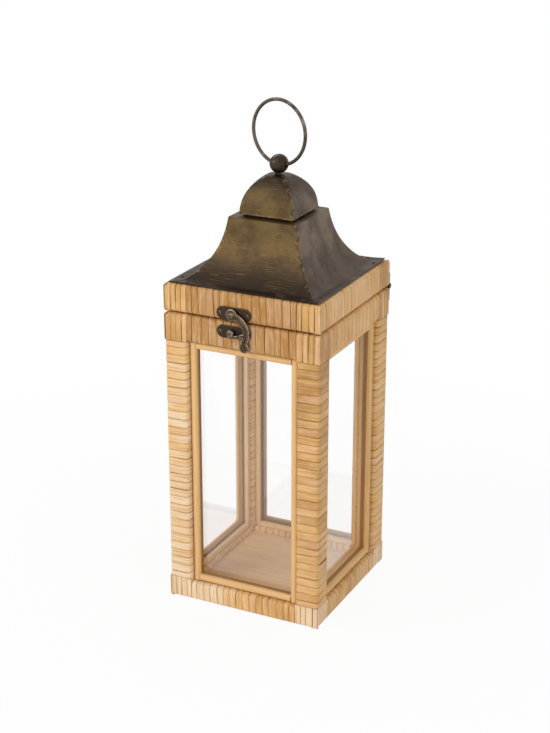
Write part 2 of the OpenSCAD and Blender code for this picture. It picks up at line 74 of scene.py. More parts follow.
# Sizes of the dressed pieces in metres, the ring's turn in degrees, and numbers of steps
TRIM_W = 0.007
STEP_HALF = 0.0355
DOME_LIFT = 0.0017
DOME_FLAT = 0.011
FLANGE_T = 0.001
DENT_FINENESS = 38
BORE_RADIUS = 0.00269
WIRE_RADIUS = 0.0017
RING_TURN = -12.0
RING_STEPS, WIRE_STEPS = 160, 20
END_LAP = 0.003
END_EDGE = 0.0004
HAIR = 0.0001
FLOOR_RADIUS, FLOOR_SIDES = 12, 64
LAMP_AIM = 0.2

# The peel's strips: points and steps, how turns crowd and climb, least sizes, and the turn that has slipped
SECTION_POINTS = 12
WOUND_STEPS = 44
LAID_STEPS = 110
LAID_COUNT = 4
CORNER_CROWD = 0.8
SIDE_CLIMB = 0.9
POST_SPREAD = 0.35
LAID_SPREAD = 0.4
THINNEST, SHARPEST = 0.00015, 0.00001
STRIP_END = 0.000016
SEED_STRIDE, RUN_STRIDE = 17.3, 31.7
SLIPPED_TURN = 5.9
SLIP_WIDTH = 0.0018
NO_SLIP = -9.0


def srgb(red, green, blue):
    """Linear colour with alpha from 8-bit display values."""
    def linear(value):
        value /= 255
        return value / 12.92 if value <= 0.04045 else ((value + 0.055) / 1.055) ** 2.4
    return (linear(red), linear(green), linear(blue), 1.0)


def number(name, description, default, low=0.0, **kind):
    return bpy.props.FloatProperty(name=name, description=description, default=default, min=low, **kind)


def length(name, description, default, low=0.0):
    return number(name, description, default, low, unit="LENGTH", precision=5)


def angle(name, description, degrees):
    return number(name, description, math.radians(degrees), -math.tau, subtype="ANGLE")


def share(name, description, default):
    return number(name, description, default, max=1, subtype="FACTOR")


def colour(name, description, default):
    return bpy.props.FloatVectorProperty(
        name=name, description=description, default=default, size=4, min=0, max=1, subtype="COLOR")


class LanternPeel(bpy.types.PropertyGroup):
    """Rattan peel: the sizes of its strips and its colours"""
    gap: length("Gap", "Usual gap between neighbouring strips", 0.00024, 0.0001)
    corner: length("Corner", "Rounding of the corners under the peel", 0.0026, 0.0005)
    spread: length("Spread", "How far the width of the rails' strips varies", 0.0042)
    waver: length("Waver", "How far the strips' edges waver", 0.0003)
    post_turns: number("Post Turns", "Turns wound round a post", 31.5, 3)
    sill_turns: number("Sill Turns", "Turns wound round a bottom rail", 16.5, 3)
    head_turns: number("Head Turns", "Turns wound round a top rail", 14.5, 3)
    lid_turns: number("Lid Turns", "Turns wound round a lid rail", 15.5, 3)
    pale: colour("Pale", "Lightest strips", srgb(242, 216, 180))
    honey: colour("Honey", "Middle strips", srgb(228, 179, 112))
    amber: colour("Amber", "Deepest strips", srgb(174, 124, 60))
    # painted shade: the colour laid on the strips' edges and on their sides down in the gaps
    seam: colour("Seam", "Edges of the strips down in the gaps", srgb(146, 100, 56))
    blush: colour("Blush", "Tinge of some strips", srgb(228, 182, 146))
    fleck: colour("Fleck", "Small dark flecks", srgb(158, 110, 64))


class LanternWood(bpy.types.PropertyGroup):
    """Trim round the windows, the board and the wood under the peel"""
    trim: colour("Trim", "Half-round trim", srgb(230, 187, 125))
    trim_dark: colour("Trim Grain", "Dark streaks in the trim", srgb(206, 156, 94))
    # painted shade: the trim's flank down by the glass, where shade falls, and its grain
    flank_shade: colour("Trim Flank", "Trim down by the glass", srgb(166, 116, 62))
    flank_shade_grain: colour("Trim Flank Grain", "Dark streaks down by the glass", srgb(142, 98, 56))
    # painted shade: the trim where it meets the peel
    crease_shade: colour("Crease", "Trim where it meets the peel", srgb(128, 86, 48))
    bead: colour("Bead", "Beads behind the glass", srgb(244, 208, 160))
    board: colour("Board", "Plywood base", srgb(234, 192, 142))
    board_dark: colour("Board Grain", "Dark grain in the plywood", srgb(218, 174, 124))
    core: colour("Core", "Wood under the peel", srgb(186, 136, 84))
    core_dark: colour("Core Grain", "Dark grain in the wood under the peel", srgb(152, 106, 62))


class LanternMetal(bpy.types.PropertyGroup):
    """Bronze roof sheet and fittings"""
    # dark is patina in the hollows and also the colour of the painted shade on the roof and under the ball
    # and ring
    dark: colour("Dark", "Patina in the hollows", srgb(50, 38, 27))
    pit: colour("Pit", "Patina in the hollows of the fittings", srgb(40, 29, 20))
    bronze: colour("Bronze", "Front and back of the roof sheet", srgb(99, 79, 47))
    # painted reflection: the roof's sides are greyer where they catch light from the side
    side_sheen: colour("Grey Bronze", "Sides of the roof sheet", srgb(114, 97, 82))
    rubbed: colour("Rubbed", "Gold where the patina is rubbed off", srgb(146, 120, 82))
    plate: colour("Plate", "Latch plates, hinges, nails and tacks", srgb(58, 43, 31))
    hook: colour("Hook", "Face of the hook", srgb(82, 64, 46))
    worn: colour("Worn", "Worn edges of the fittings", srgb(184, 158, 128))
    wire: colour("Wire", "Carrying ring", srgb(98, 89, 77))
    # worn patches of the ring, kept to its upper side, and partly a painted highlight
    wire_wear_and_highlight: colour("Worn Wire", "Worn patches of the ring", srgb(170, 156, 140))
    ball: colour("Ball", "Ball and its neck", srgb(66, 54, 42))
    # worn patches of the ball, kept to its upper side, and partly a painted highlight
    ball_worn: colour("Worn Ball", "Worn patches of the ball", srgb(164, 152, 136))
    sheet: length("Sheet", "Thickness of the roof sheet", 0.0009, 0.0002)
    hip: length("Hip", "Rounding of the roof's hips", 0.0013, 0.0002)
    curl: length("Curl", "How far a corner of the flange curls up", 0.0013)
    dent: length("Dent", "Depth of the dents in the sheet", 0.0005)


class LanternGlass(bpy.types.PropertyGroup):
    """Window glass"""
    tint: colour("Tint", "Colour of the glass", (0.997, 0.999, 0.998, 1.0))
    smear: colour("Smear", "Colour of the glass where it is smeared", (0.99, 0.993, 0.99, 1.0))
    clear: share("Clear", "Share of light that passes straight through in shadows", 0.97)


class LanternStage(bpy.types.PropertyGroup):
    """Floor, light and camera"""
    floor: colour("Floor", "Floor", (0.93, 0.93, 0.93, 1.0))
    speck: colour("Floor Specks", "Faint specks in the floor", (0.8, 0.8, 0.8, 1.0))
    glow: share("Floor Glow", "How far the floor near the lantern is lifted to white", 0.93)
    azimuth: angle("Azimuth", "Camera's turn round the lantern", 26.14)
    elevation: angle("Elevation", "Camera's height angle", 20.71)
    pitch: angle("Pitch", "Camera's tilt below level", 20.79)
    swing: angle("Swing", "Camera's turn aside from the lantern", 0.15)
    distance: length("Distance", "Camera's distance from the aim point", 1.552, 0.3)
    aim: length("Aim", "Height of the aim point", 0.23)
    focus: number("Focal Length", "Focal length on a 36 mm long side", 79.3, 10, unit="CAMERA")
    sky: number("Sky", "Strength of the even light", 0.62)
    key: number("Key", "Key light", 14.5, unit="POWER")
    fill: number("Fill", "Fill light", 4.0, unit="POWER")
    low: number("Low Fill", "Low light in front", 5.2, unit="POWER")


# Node trees

class Wire:
    """Output socket that takes part in sums."""

    def __init__(self, graph, socket):
        self.graph, self.socket = graph, socket

    def __abs__(self):
        return self.graph.math("ABSOLUTE", self)

    def __add__(self, other):
        return self.graph.math("ADD", self, other)

    def __sub__(self, other):
        return self.graph.math("SUBTRACT", self, other)

    def __rsub__(self, other):
        return self.graph.math("SUBTRACT", other, self)

    def __mul__(self, other):
        return self.graph.math("MULTIPLY", self, other)

    def __truediv__(self, other):
        return self.graph.math("DIVIDE", self, other)

    __radd__, __rmul__ = __add__, __mul__


class Graph:
    """Writes nodes into a tree; sums of wires become math nodes."""

    def __init__(self, tree):
        self.tree = tree

    @classmethod
    def group(cls, name, kind, inputs, outputs):
        g = cls(bpy.data.node_groups.new(name, kind))
        for way, sockets in (("INPUT", inputs), ("OUTPUT", outputs)):
            for label, (socket, *default) in sockets.items():
                made = g.tree.interface.new_socket(label, in_out=way, socket_type="NodeSocket" + socket)
                if default:
                    made.default_value = default[0]
        g.source = g.tree.nodes.new("NodeGroupInput")
        g.result = g.tree.nodes.new("NodeGroupOutput")
        return g

    def __getitem__(self, label):
        return Wire(self, self.source.outputs[label])

    def put(self, socket, value):
        if isinstance(value, Wire):
            self.tree.links.new(value.socket, socket)
        else:
            socket.default_value = value

    def fill(self, node, values):
        """Fills inputs of a node by name."""
        for label, value in values.items():
            self.put(node.inputs[label], value)

    def add(self, kind, inputs=None, output=0, **settings):
        """Adds a node, fills its inputs by name or number and returns one output."""
        node = self.tree.nodes.new(kind)
        for name, value in settings.items():
            setattr(node, name, value)
        for key, value in (inputs or {}).items():
            socket = node.inputs[key] if isinstance(key, int) else next(
                s for s in node.inputs if s.name == key and s.enabled)
            self.put(socket, value)
        shown = [s for s in node.outputs if s.enabled]
        return Wire(self, shown[output] if isinstance(output, int) else node.outputs[output])

    def math(self, operation, *values):
        return self.add("ShaderNodeMath", dict(enumerate(values)), operation=operation)

    def larger(self, one, other):
        return self.math("MAXIMUM", one, other)

    def smaller(self, one, other):
        return self.math("MINIMUM", one, other)

    def clamp(self, value, low, high):
        return self.smaller(self.larger(value, low), high)

    def sine(self, value):
        return self.math("SINE", value)

    def cosine(self, value):
        return self.math("COSINE", value)

    def vector(self, x, y, z):
        return self.add("ShaderNodeCombineXYZ", {0: x, 1: y, 2: z})

    def parts(self, vector):
        node = self.add("ShaderNodeSeparateXYZ", {0: vector}).socket.node
        return [Wire(self, s) for s in node.outputs]

    def noise1(self, place, detail=0.0):
        return self.add(
            "ShaderNodeTexNoise", {"W": place, "Scale": 1.0, "Detail": detail}, noise_dimensions="1D")

    def noise(self, place, scale=1.0, detail=2.0, rough=0.5):
        values = {"Vector": place, "Scale": scale, "Detail": detail, "Roughness": rough}
        return self.add("ShaderNodeTexNoise", values)

    def step(self, value, low, high, out_low=0.0, out_high=1.0):
        """Smooth rise from one value at low to the other at high."""
        values = {"Value": value, "From Min": low, "From Max": high, "To Min": out_low, "To Max": out_high}
        return self.add("ShaderNodeMapRange", values, interpolation_type="SMOOTHSTEP")

    def mix(self, share_, low, high):
        node = self.tree.nodes.new("ShaderNodeMix")
        node.data_type = "RGBA"
        for socket, value in zip([s for s in node.inputs if s.enabled], (share_, low, high)):
            self.put(socket, value)
        return Wire(self, next(s for s in node.outputs if s.enabled))

    # Shaders only

    def spot(self, output="Object"):
        return self.add("ShaderNodeTexCoord", output=output)

    def stretch(self, vector, x, y, z, turn=(0.0, 0.0, 0.0)):
        return self.add("ShaderNodeMapping", {"Vector": vector, "Scale": (x, y, z), "Rotation": turn})

    def layers(self, base, *rows):
        """Lays colours over a base, one for each row of a value, its two limits, a share and a colour."""
        for value, low, high, share_, tone in rows:
            base = self.mix(self.step(value, low, high) * share_, base, tone)
        return base

    def rays(self, *kinds):
        """One where the ray is of one of the kinds."""
        outputs = self.add("ShaderNodeLightPath").socket.node.outputs
        found, *others = (Wire(self, outputs[f"Is {kind} Ray"]) for kind in kinds)
        for other in others:
            found = self.larger(found, other)
        return found

    # Geometry only

    def store(self, geometry, name, value, data_type="FLOAT"):
        values = {"Geometry": geometry, "Name": name, "Value": value}
        return self.add("GeometryNodeStoreNamedAttribute", values, data_type=data_type, domain="POINT")

    def named(self, name, data_type="FLOAT"):
        return self.add("GeometryNodeInputNamedAttribute", {"Name": name}, data_type=data_type)

    def finish(self, geometry, position):
        """Moves the points, shades smooth, realizes, sets the material and ends the tree."""
        moved = self.add("GeometryNodeSetPosition", {"Geometry": geometry, "Position": position})
        smooth = self.add("GeometryNodeSetShadeSmooth", {"Geometry": moved})
        real = self.add("GeometryNodeRealizeInstances", {"Geometry": smooth})
        done = self.add("GeometryNodeSetMaterial", {"Geometry": real, "Material": self["Finish"]})
        self.put(self.result.inputs[0], done)


def strip_line(g, count, run):
    """Line of some points, each with its place along the strip kept as run."""
    line = g.add("GeometryNodeCurvePrimitiveLine")
    line = g.add("GeometryNodeResampleCurve", {"Curve": line, "Count": count})
    return g.store(line, "run", run)


def sweep_strip(g, line):
    """Crowned flat strip along a line, with its points' place across from -1 to 1 and depth from 0 to 1."""
    circle = g.add("GeometryNodeCurvePrimitiveCircle", {"Resolution": SECTION_POINTS, "Radius": 1.0})
    x, y, _ = g.parts(g.add("GeometryNodeInputPosition"))

    def swell(value, power):
        return g.math("SIGN", value) * g.math("POWER", abs(value), power)
    section = g.store(circle, "section", g.vector(swell(x, 0.3), swell(y, 0.42), 0.0), "FLOAT_VECTOR")
    mesh = g.add("GeometryNodeCurveToMesh", {"Curve": line, "Profile Curve": section, "Fill Caps": True})
    across, depth, _ = g.parts(g.named("section", "FLOAT_VECTOR"))
    return mesh, across, depth * 0.5 + 0.5


def describe_strip(g, mesh, run, along, half_w, across, depth, tone):
    """Keeps what the peel's material reads on the points."""
    mesh = g.store(mesh, "peel_run", run)
    mesh = g.store(mesh, "peel_way", g.vector(along, half_w * across, depth), "FLOAT_VECTOR")
    mesh = g.store(mesh, "peel_edge", abs(across))
    return g.store(mesh, "peel_tone", tone)


STRIP_INPUTS = {
    "Peel": ("Float", 0.0016), "Gap": ("Float", 0.0006), "Round": ("Float", 0.0015),
    "Spread": ("Float", 0.002), "Waver": ("Float", 0.0006), "Seed": ("Float", 0.0),
    "Tone": ("Float", 0.5), "Steps": ("Int", 44), "Finish": ("Material",),
}


def winding_tree():
    """One strip wound round a rectangular rail along Z. Each turn's upper edge and the next turn's lower
    edge follow one line, so the turns never cross. It climbs on the two sides of the rail that face away,
    and the first and last turns run out level."""
    g = Graph.group("Peel Winding", "GeometryNodeTree", {
        "Half X": ("Float", 0.01), "Half Y": ("Float", 0.01), "Length": ("Float", 0.1),
        "Turns": ("Float", 10.5), "First Side": ("Int", 0), "Drift": ("Float", 0.0),
        "Slip": ("Float", NO_SLIP), **STRIP_INPUTS}, {"Mesh": ("Geometry",)})
    line = strip_line(g, g["Turns"] * g["Steps"] + 1.0, g.add("GeometryNodeSplineParameter") * g["Turns"])
    mesh, across, depth = sweep_strip(g, line)
    run, seed = g.named("run"), g["Seed"] * SEED_STRIDE

    # Place round the rail: half a corner, a side and half a corner for each quarter turn
    quarter = run * 4.0 + g["First Side"]
    side = g.math("FLOOR", quarter)
    part = quarter - side
    part = part - g.sine(part * math.tau) * (CORNER_CROWD / math.tau)
    odd = g.math("MODULO", side, 2.0)
    reach = g["Half X"] + (g["Half Y"] - g["Half X"]) * odd
    away = g["Half Y"] + (g["Half X"] - g["Half Y"]) * odd
    flat = reach - g["Round"]
    along = (part * 2.0 - 1.0) * (flat + g["Round"] * (math.pi / 4))
    straight = g.larger(g.smaller(along, flat), flat * -1.0)
    bend = (along - straight) / g["Round"]
    press = 1.0 - 0.16 * g.noise1(run * 0.9 + seed)
    radius = g["Round"] + g["Peel"] * depth * press
    level = straight + radius * g.sine(bend)
    out = away - g["Round"] + radius * g.cosine(bend)
    sine, cosine = g.sine(side * QUARTER), g.cosine(side * QUARTER)

    # Height along the rail
    pitch = g["Length"] / (g["Turns"] - 1.0)

    def edge_line(run_):
        climb = run_ + g.sine((run_ - 0.25) * math.tau) * (SIDE_CLIMB / math.tau)
        rise = g.clamp(climb - 1.0, 0.0, g["Turns"] - 1.0)
        free = g.clamp(g.smaller(run_ - 1.0, g["Turns"] - run_), 0.0, 1.0)
        wide = (g.noise1(run_ * 1.3 + seed) - 0.5) * g["Spread"]
        fine = (g.noise1(run_ * 9.0 + seed + 40.0) - 0.5) * g["Waver"]
        return pitch * rise + free * (wide + fine)
    lower = edge_line(run)
    gap = g["Gap"] * (0.35 + 1.7 * g.step(g.noise1(run * 1.7 + seed + 90.0), 0.52, 0.78))
    slip = g.step(abs(run - g["Slip"]), 0.12, 0.04) * SLIP_WIDTH
    upper = edge_line(run + 1.0) - gap - slip
    half_w = g.larger((upper - lower) * 0.5, THINNEST)
    height = (upper + lower) * 0.5 + half_w * across - g["Length"] * 0.5
    place = g.vector(level * cosine + out * sine, level * sine - out * cosine, height)

    mesh = describe_strip(g, mesh, run + g["Seed"] * RUN_STRIDE, run * (g["Half X"] + g["Half Y"]) * 4.0,
                          half_w, across, depth, g["Tone"] + g["Drift"] * run / g["Turns"])
    g.finish(mesh, place)
    return g.tree


def strap_tree():
    """Upright strips over the two outer faces of all four corners, folded over the top or the foot."""
    g = Graph.group("Peel Straps", "GeometryNodeTree", {
        "Count": ("Int", 4), "Height": ("Float", 0.03), "Foot": ("Float", 0.0), "Core Half": ("Float", 0.078),
        "Post Width": ("Float", 0.024), "Fold Top": ("Float", 1.0), "Fold Foot": ("Float", 0.0),
        "Long Fold": ("Float", 0.02), "Side Fold": ("Float", 0.0056), "Corner Fold": ("Float", 0.0017),
        **STRIP_INPUTS}, {"Mesh": ("Geometry",)})
    line = strip_line(g, g["Steps"], g.add("GeometryNodeSplineParameter"))
    copies = g.add("GeometryNodeDuplicateElements", {"Geometry": line, "Amount": g["Count"] * 8.0},
                   domain="SPLINE")
    line = g.store(copies, "strap", Wire(g, copies.socket.node.outputs["Duplicate Index"]))
    mesh, across, depth = sweep_strip(g, line)
    run, seed = g.named("run"), g["Seed"] * SEED_STRIDE

    strap = g.math("ROUND", g.named("strap"))
    corner = g.math("FLOOR", (strap + 0.5) / (g["Count"] * 2.0))
    rest = strap - corner * g["Count"] * 2.0
    face = g.math("FLOOR", (rest + 0.5) / g["Count"])
    place_no = rest - face * g["Count"]
    last = g.math("GREATER_THAN", place_no, g["Count"] - 1.5) * (1.0 - face)

    # Way over the top, down the face and under the foot
    long_fold = g["Long Fold"] + (g["Corner Fold"] - g["Long Fold"]) * last
    fold = face * g["Side Fold"] + (1.0 - face) * long_fold
    thick = g["Peel"] * depth * (1.0 - 0.2 * g.noise1(strap * 3.3 + seed))
    top, foot = fold * g["Fold Top"], fold * g["Fold Foot"]
    round_top, round_foot = (g.clamp(end, SHARPEST, g["Round"]) for end in (top, foot))
    core_h = g["Height"] - g["Peel"] * (g["Fold Top"] + g["Fold Foot"])
    reach_top = g.larger(top - round_top, 0.0)
    reach_foot = g.larger(foot - round_foot, 0.0)
    arc_top, arc_foot = round_top * QUARTER, round_foot * QUARTER
    drop = core_h - round_top - round_foot
    whole = reach_top + arc_top + drop + arc_foot + reach_foot
    way = STRIP_END + run * (whole - 2 * STRIP_END)
    on_top = g.smaller(way, reach_top)
    past_top = way - reach_top
    bend_top = g.clamp(past_top / round_top, 0.0, QUARTER)
    past_bend = past_top - arc_top
    down = g.clamp(past_bend, 0.0, drop)
    past_face = past_bend - drop
    bend_foot = g.clamp(past_face / round_foot, 0.0, QUARTER)
    under = g.clamp(past_face - arc_foot, 0.0, reach_foot)
    radius_top, radius_foot = round_top + thick, round_foot + thick
    inward = (round_top + reach_top - on_top - radius_top * g.sine(bend_top)
              + radius_foot * (1.0 - g.cosine(bend_foot)) + under)
    height = (core_h - round_top + radius_top * g.cosine(bend_top) - down
              - radius_foot * g.sine(bend_foot) + g["Foot"] + g["Peel"] * g["Fold Foot"])

    # Place across the face
    pitch = (g["Post Width"] - g["Peel"] * face) / g["Count"]

    def edge_line(boundary):
        inner = g.math("GREATER_THAN", boundary, 0.5) * g.math("LESS_THAN", boundary, g["Count"] - 0.5)
        mark = boundary * 7.7 + corner * 23.1 + face * 5.9 + seed
        wide = (g.noise1(mark) - 0.5) * g["Spread"]
        fine = (g.noise1(mark + 60.0 + way * 70.0) - 0.5) * g["Waver"]
        open_ = 0.2 + 1.3 * g.step(g.noise1(mark + 20.0 + way * 20.0), 0.45, 0.7)
        return boundary * pitch + inner * (wide + fine), g["Gap"] * open_
    (low, low_gap), (high, high_gap) = edge_line(place_no), edge_line(place_no + 1.0)
    low, high = low + low_gap, high - high_gap
    half_w = (high - low) * 0.5
    sideways = (high + low) * 0.5 + half_w * across
    front_x = g["Core Half"] + g["Peel"] - g["Post Width"] + sideways
    x = front_x + (g["Core Half"] - inward - front_x) * face
    front_y = inward - g["Core Half"]
    y = front_y + (sideways - g["Core Half"] - front_y) * face
    sine, cosine = g.sine(corner * QUARTER), g.cosine(corner * QUARTER)
    place = g.vector(x * cosine - y * sine, x * sine + y * cosine, height)

    mesh = describe_strip(g, mesh, strap * 1.37 + g["Seed"] * RUN_STRIDE, way + strap * 0.41,
                          half_w, across, depth, g["Tone"])
    g.finish(mesh, place)
    return g.tree


def tree(name, make):
    return bpy.data.node_groups.get(name) or make()


# Meshes

class Editing:
    """Opens a mesh for editing and writes the result back into it."""

    def __init__(self, mesh):
        self.mesh, self.work = mesh, bmesh.new()

    def __enter__(self):
        self.work.from_mesh(self.mesh)
        return self.work

    def __exit__(self, *error):
        self.work.to_mesh(self.mesh)
        self.work.free()


def new_object(name, data):
    made = bpy.data.objects.new(name, data)
    bpy.context.scene.collection.objects.link(made)
    return made


def plain_mesh(obj):
    """Turns the evaluated object into a plain mesh with no modifier left."""
    graph = bpy.context.evaluated_depsgraph_get()
    mesh = bpy.data.meshes.new_from_object(
        obj.evaluated_get(graph), preserve_all_data_layers=True, depsgraph=graph)
    obj.modifiers.clear()
    old, obj.data = obj.data, mesh
    mesh.name = obj.name
    bpy.data.meshes.remove(old)
    if not mesh.polygons:
        raise RuntimeError(f"{obj.name} has no faces")


def face_outwards(mesh):
    """Flips a closed mesh whose faces point inwards."""
    with Editing(mesh) as work:
        if work.calc_volume(signed=True) < 0:
            bmesh.ops.reverse_faces(work, faces=work.faces)


def grow(name, node_tree, place, values):
    """Runs a geometry tree with the given inputs and returns its plain mesh, moved to its place."""
    obj = new_object(name, bpy.data.meshes.new(name))
    modifier = obj.modifiers.new("Build", "NODES")
    modifier.node_group = node_tree
    for item in node_tree.interface.items_tree:
        if item.in_out == "INPUT" and item.name in values:
            modifier[item.identifier] = values[item.name]
    plain_mesh(obj)
    obj.data.transform(place)
    face_outwards(obj.data)
    return obj


def shade_by_angle(mesh, degrees):
    mesh.polygons.foreach_set("use_smooth", [True] * len(mesh.polygons))
    mesh.set_sharp_from_angle(angle=math.radians(degrees))


def from_rings(name, rings, closed_ends=True, loop=False):
    """Mesh from rings with the same number of points."""
    mesh = bpy.data.meshes.new(name)
    with Editing(mesh) as work:
        rows = [[work.verts.new(p) for p in ring] for ring in rings]
        count = len(rows[0])
        pairs = list(zip(rows, rows[1:])) + ([(rows[-1], rows[0])] if loop else [])
        for low, high in pairs:
            for i in range(count):
                j = (i + 1) % count
                work.faces.new((low[i], low[j], high[j], high[i]))
        if closed_ends and not loop:
            work.faces.new(rows[0][::-1])
            work.faces.new(rows[-1])
        bmesh.ops.recalc_face_normals(work, faces=work.faces)
    return new_object(name, mesh)


def softened(name, node, width, crown=0.0, drop=0.0):
    """Copy of a CAD node with merged points and rounded edges; a crown slopes its front back at the rim."""
    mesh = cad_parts[node].data.copy()
    mesh.name = name
    with Editing(mesh) as work:
        bmesh.ops.remove_doubles(work, verts=work.verts, dist=0.00001)
        bmesh.ops.dissolve_limit(work, angle_limit=math.radians(1), verts=work.verts, edges=work.edges)
        if crown:
            front = [face for face in work.faces if face.normal.y < -0.9]
            bmesh.ops.inset_region(work, faces=front, thickness=crown, use_even_offset=True,
                                   use_boundary=True)
            inner = {vert for face in front for vert in face.verts}
            for vert in work.verts:
                if vert not in inner and any(edge.other_vert(vert) in inner for edge in vert.link_edges):
                    vert.co.y += drop
    mesh.materials.clear()
    obj = new_object(name, mesh)
    bevel = obj.modifiers.new("Edge", "BEVEL")
    bevel.width, bevel.segments = width, 3
    bevel.limit_method, bevel.angle_limit = "ANGLE", math.radians(40)
    plain_mesh(obj)
    shade_by_angle(obj.data, 35)
    return obj


def dress(obj, finish, body, slot, *nodes):
    """Gives a piece its material and body and hides the CAD nodes that it stands for; slot is not used."""
    if finish:
        obj.data.materials.clear()
        obj.data.materials.append(finish)
    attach(obj, body)
    if nodes:
        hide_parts(*nodes)


def repaint(finish, *nodes):
    """Gives CAD nodes a material and leaves their meshes as they are."""
    for name in nodes:
        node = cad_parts[name]
        if not node.data.materials:
            node.data.materials.append(finish)
        for place in node.material_slots:
            place.material = finish


# Shader groups

SHADES = {"Color": ("Color",), "Roughness": ("Float",), "Height": ("Float",)}


def colours(*names):
    return {name: ("Color",) for name in names}


def peel_group():
    """Colour, roughness and height of rattan peel from the attributes on its strips."""
    g = Graph.group("Peel Fibre", "ShaderNodeTree",
                    colours("Pale", "Honey", "Amber", "Seam", "Blush", "Fleck"), SHADES)

    def read(name, output="Fac"):
        return g.add("ShaderNodeAttribute", output=output, attribute_name=name)
    run, edge, tone = read("peel_run"), read("peel_edge"), read("peel_tone")
    along, across, depth = g.parts(read("peel_way", "Vector"))

    def streaks(by_length, by_width, by_run, detail=2.0, rough=0.5):
        place = g.vector(along * by_length, across * by_width, run * by_run)
        return g.noise(place, 1.0, detail, rough)
    bands = streaks(14.0, 520.0, 3.0)
    fibres = streaks(60.0, 2600.0, 3.0, 3.0, 0.6)
    cloud = streaks(120.0, 260.0, 5.0, 3.0, 0.6)
    strip_tone = (g.noise1(run * 1.6, 1.0) - 0.5) * 0.55
    patch = (g.noise(g.spot(), 22.0) - 0.5) * 0.6
    shade = g.clamp(tone + strip_tone + patch, 0.0, 1.0)
    base = g.layers(
        g["Pale"], (shade, 0.0, 0.55, 1.0, g["Honey"]), (shade, 0.45, 1.0, 1.0, g["Amber"]),
        (g.noise1(run * 1.1 + 300.0), 0.48, 0.7, 0.3, g["Blush"]),
        (bands, 0.5, 0.72, 0.42, g["Amber"]), (bands, 0.5, 0.3, 0.3, g["Pale"]),
        (fibres, 0.35, 0.7, 0.2, g["Amber"]), (cloud, 0.45, 0.75, 0.2, g["Pale"]),
        (streaks(300.0, 900.0, 9.0), 0.68, 0.8, 0.3, g["Fleck"]))

    # Painted shade: the strips' rounded edges and their sides down in the gaps darken towards the gap shade
    # colour, more on some turns than on others
    gap_shade_strength = 0.4 + 0.6 * g.step(g.noise1(run * 1.9 + 50.0), 0.42, 0.66)
    rim = g.step(edge, 0.74, 1.0) * 0.45 * gap_shade_strength
    base = g.mix(rim, base, g["Seam"])
    base = g.mix(g.step(depth, 0.78, 0.2) * gap_shade_strength, base, g["Seam"])
    g.fill(g.result, {"Color": base, "Roughness": 0.42 + 0.2 * fibres + 0.2 * rim,
                      "Height": fibres * 0.5 + bands * 0.7 + cloud * 0.4})
    return g.tree


def grain_group():
    """Wood grain along Z: colour, roughness and height."""
    g = Graph.group("Wood Grain", "ShaderNodeTree", {
        "Vector": ("Vector",), **colours("Light", "Dark"), "Fineness": ("Float", 1.0)}, SHADES)
    x, y, z = g.parts(g["Vector"])
    fine = g["Fineness"] * 1400.0
    streak = g.noise(g.vector(x * fine, y * fine, z * 22.0), 1.0, 4.0, 0.65)
    broad = g.noise(g.vector(x * 140.0, y * 140.0, z * 9.0))
    dots = g.noise(g.vector(x * 900.0, y * 900.0, z * 160.0))
    base = g.layers(g["Light"], (streak, 0.32, 0.72, 1.0, g["Dark"]), (broad, 0.35, 0.7, 0.5, g["Light"]),
                    (dots, 0.66, 0.8, 0.35, g["Dark"]))
    g.fill(g.result, {"Color": base, "Roughness": 0.42 + 0.2 * streak, "Height": streak})
    return g.tree


def patina_group():
    """Brushed patina over bronze: fine level and slanting scratches, darker clouds and specks."""
    g = Graph.group("Brushed Patina", "ShaderNodeTree", {
        "Vector": ("Vector",), **colours("Dark", "Bronze", "Rubbed"),
        "Rub": ("Float", 0.0), "Shade": ("Float", 0.0), "Scratch": ("Float", 0.5)}, SHADES)
    place, dark, rubbed = g["Vector"], g["Dark"], g["Rubbed"]
    level = g.noise(g.stretch(place, 26.0, 26.0, 1300.0), 1.0, 3.0, 0.6)
    sweep = g.noise(g.stretch(place, 44.0, 44.0, 1700.0, (0.5, 0.6, 0.0)), 1.0, 3.0, 0.6)
    cloud = g.noise(place, 42.0, 3.0, 0.55)
    blot = g.noise(place, 150.0, 3.0, 0.6)
    speck = g.noise(place, 900.0, 2.0, 0.6)
    where = g.noise(place, 60.0)
    scratch = g.larger(g.step(level, 0.56, 0.7) * g.step(where, 0.62, 0.4) * 0.5,
                       g.step(sweep, 0.55, 0.68) * g.step(where, 0.42, 0.6))
    base = g.layers(g["Bronze"], (cloud, 0.38, 0.66, 0.55, dark), (blot, 0.5, 0.7, 0.35, dark))
    base = g.mix(g["Shade"], base, dark)
    base = g.mix(scratch * g["Scratch"], base, rubbed)
    base = g.layers(base, (level, 0.44, 0.3, 0.25, dark))
    base = g.mix(g["Rub"], base, rubbed)
    base = g.layers(base, (speck, 0.64, 0.8, 0.25, dark))
    rough = 0.44 + 0.16 * (level - 0.5) + 0.12 * cloud - 0.08 * g["Rub"]
    g.fill(g.result, {"Color": base, "Roughness": g.clamp(rough, 0.2, 0.8),
                      "Height": level * 0.4 + sweep * 0.3 + speck * 0.1 + cloud * 0.7})
    return g.tree


# Materials

def start_finish(name):
    """Graph of a new material, with its Principled shader."""
    made = bpy.data.materials.new(name)
    made.use_nodes = True
    g = Graph(made.node_tree)
    g.material, g.shader = made, made.node_tree.nodes["Principled BSDF"]
    return g


def join_finish(g, group, values, strength, depth, metallic=0.0):
    """Puts a group into a material and joins its colour, roughness and height to the shader."""
    node = g.tree.nodes.new("ShaderNodeGroup")
    node.node_tree = group
    g.fill(node, values)
    tone, rough, height = (Wire(g, node.outputs[label]) for label in SHADES)
    bump = g.add("ShaderNodeBump", {"Strength": strength, "Distance": depth, "Height": height})
    g.fill(g.shader, {"Base Color": tone, "Roughness": rough, "Normal": bump, "Metallic": metallic})


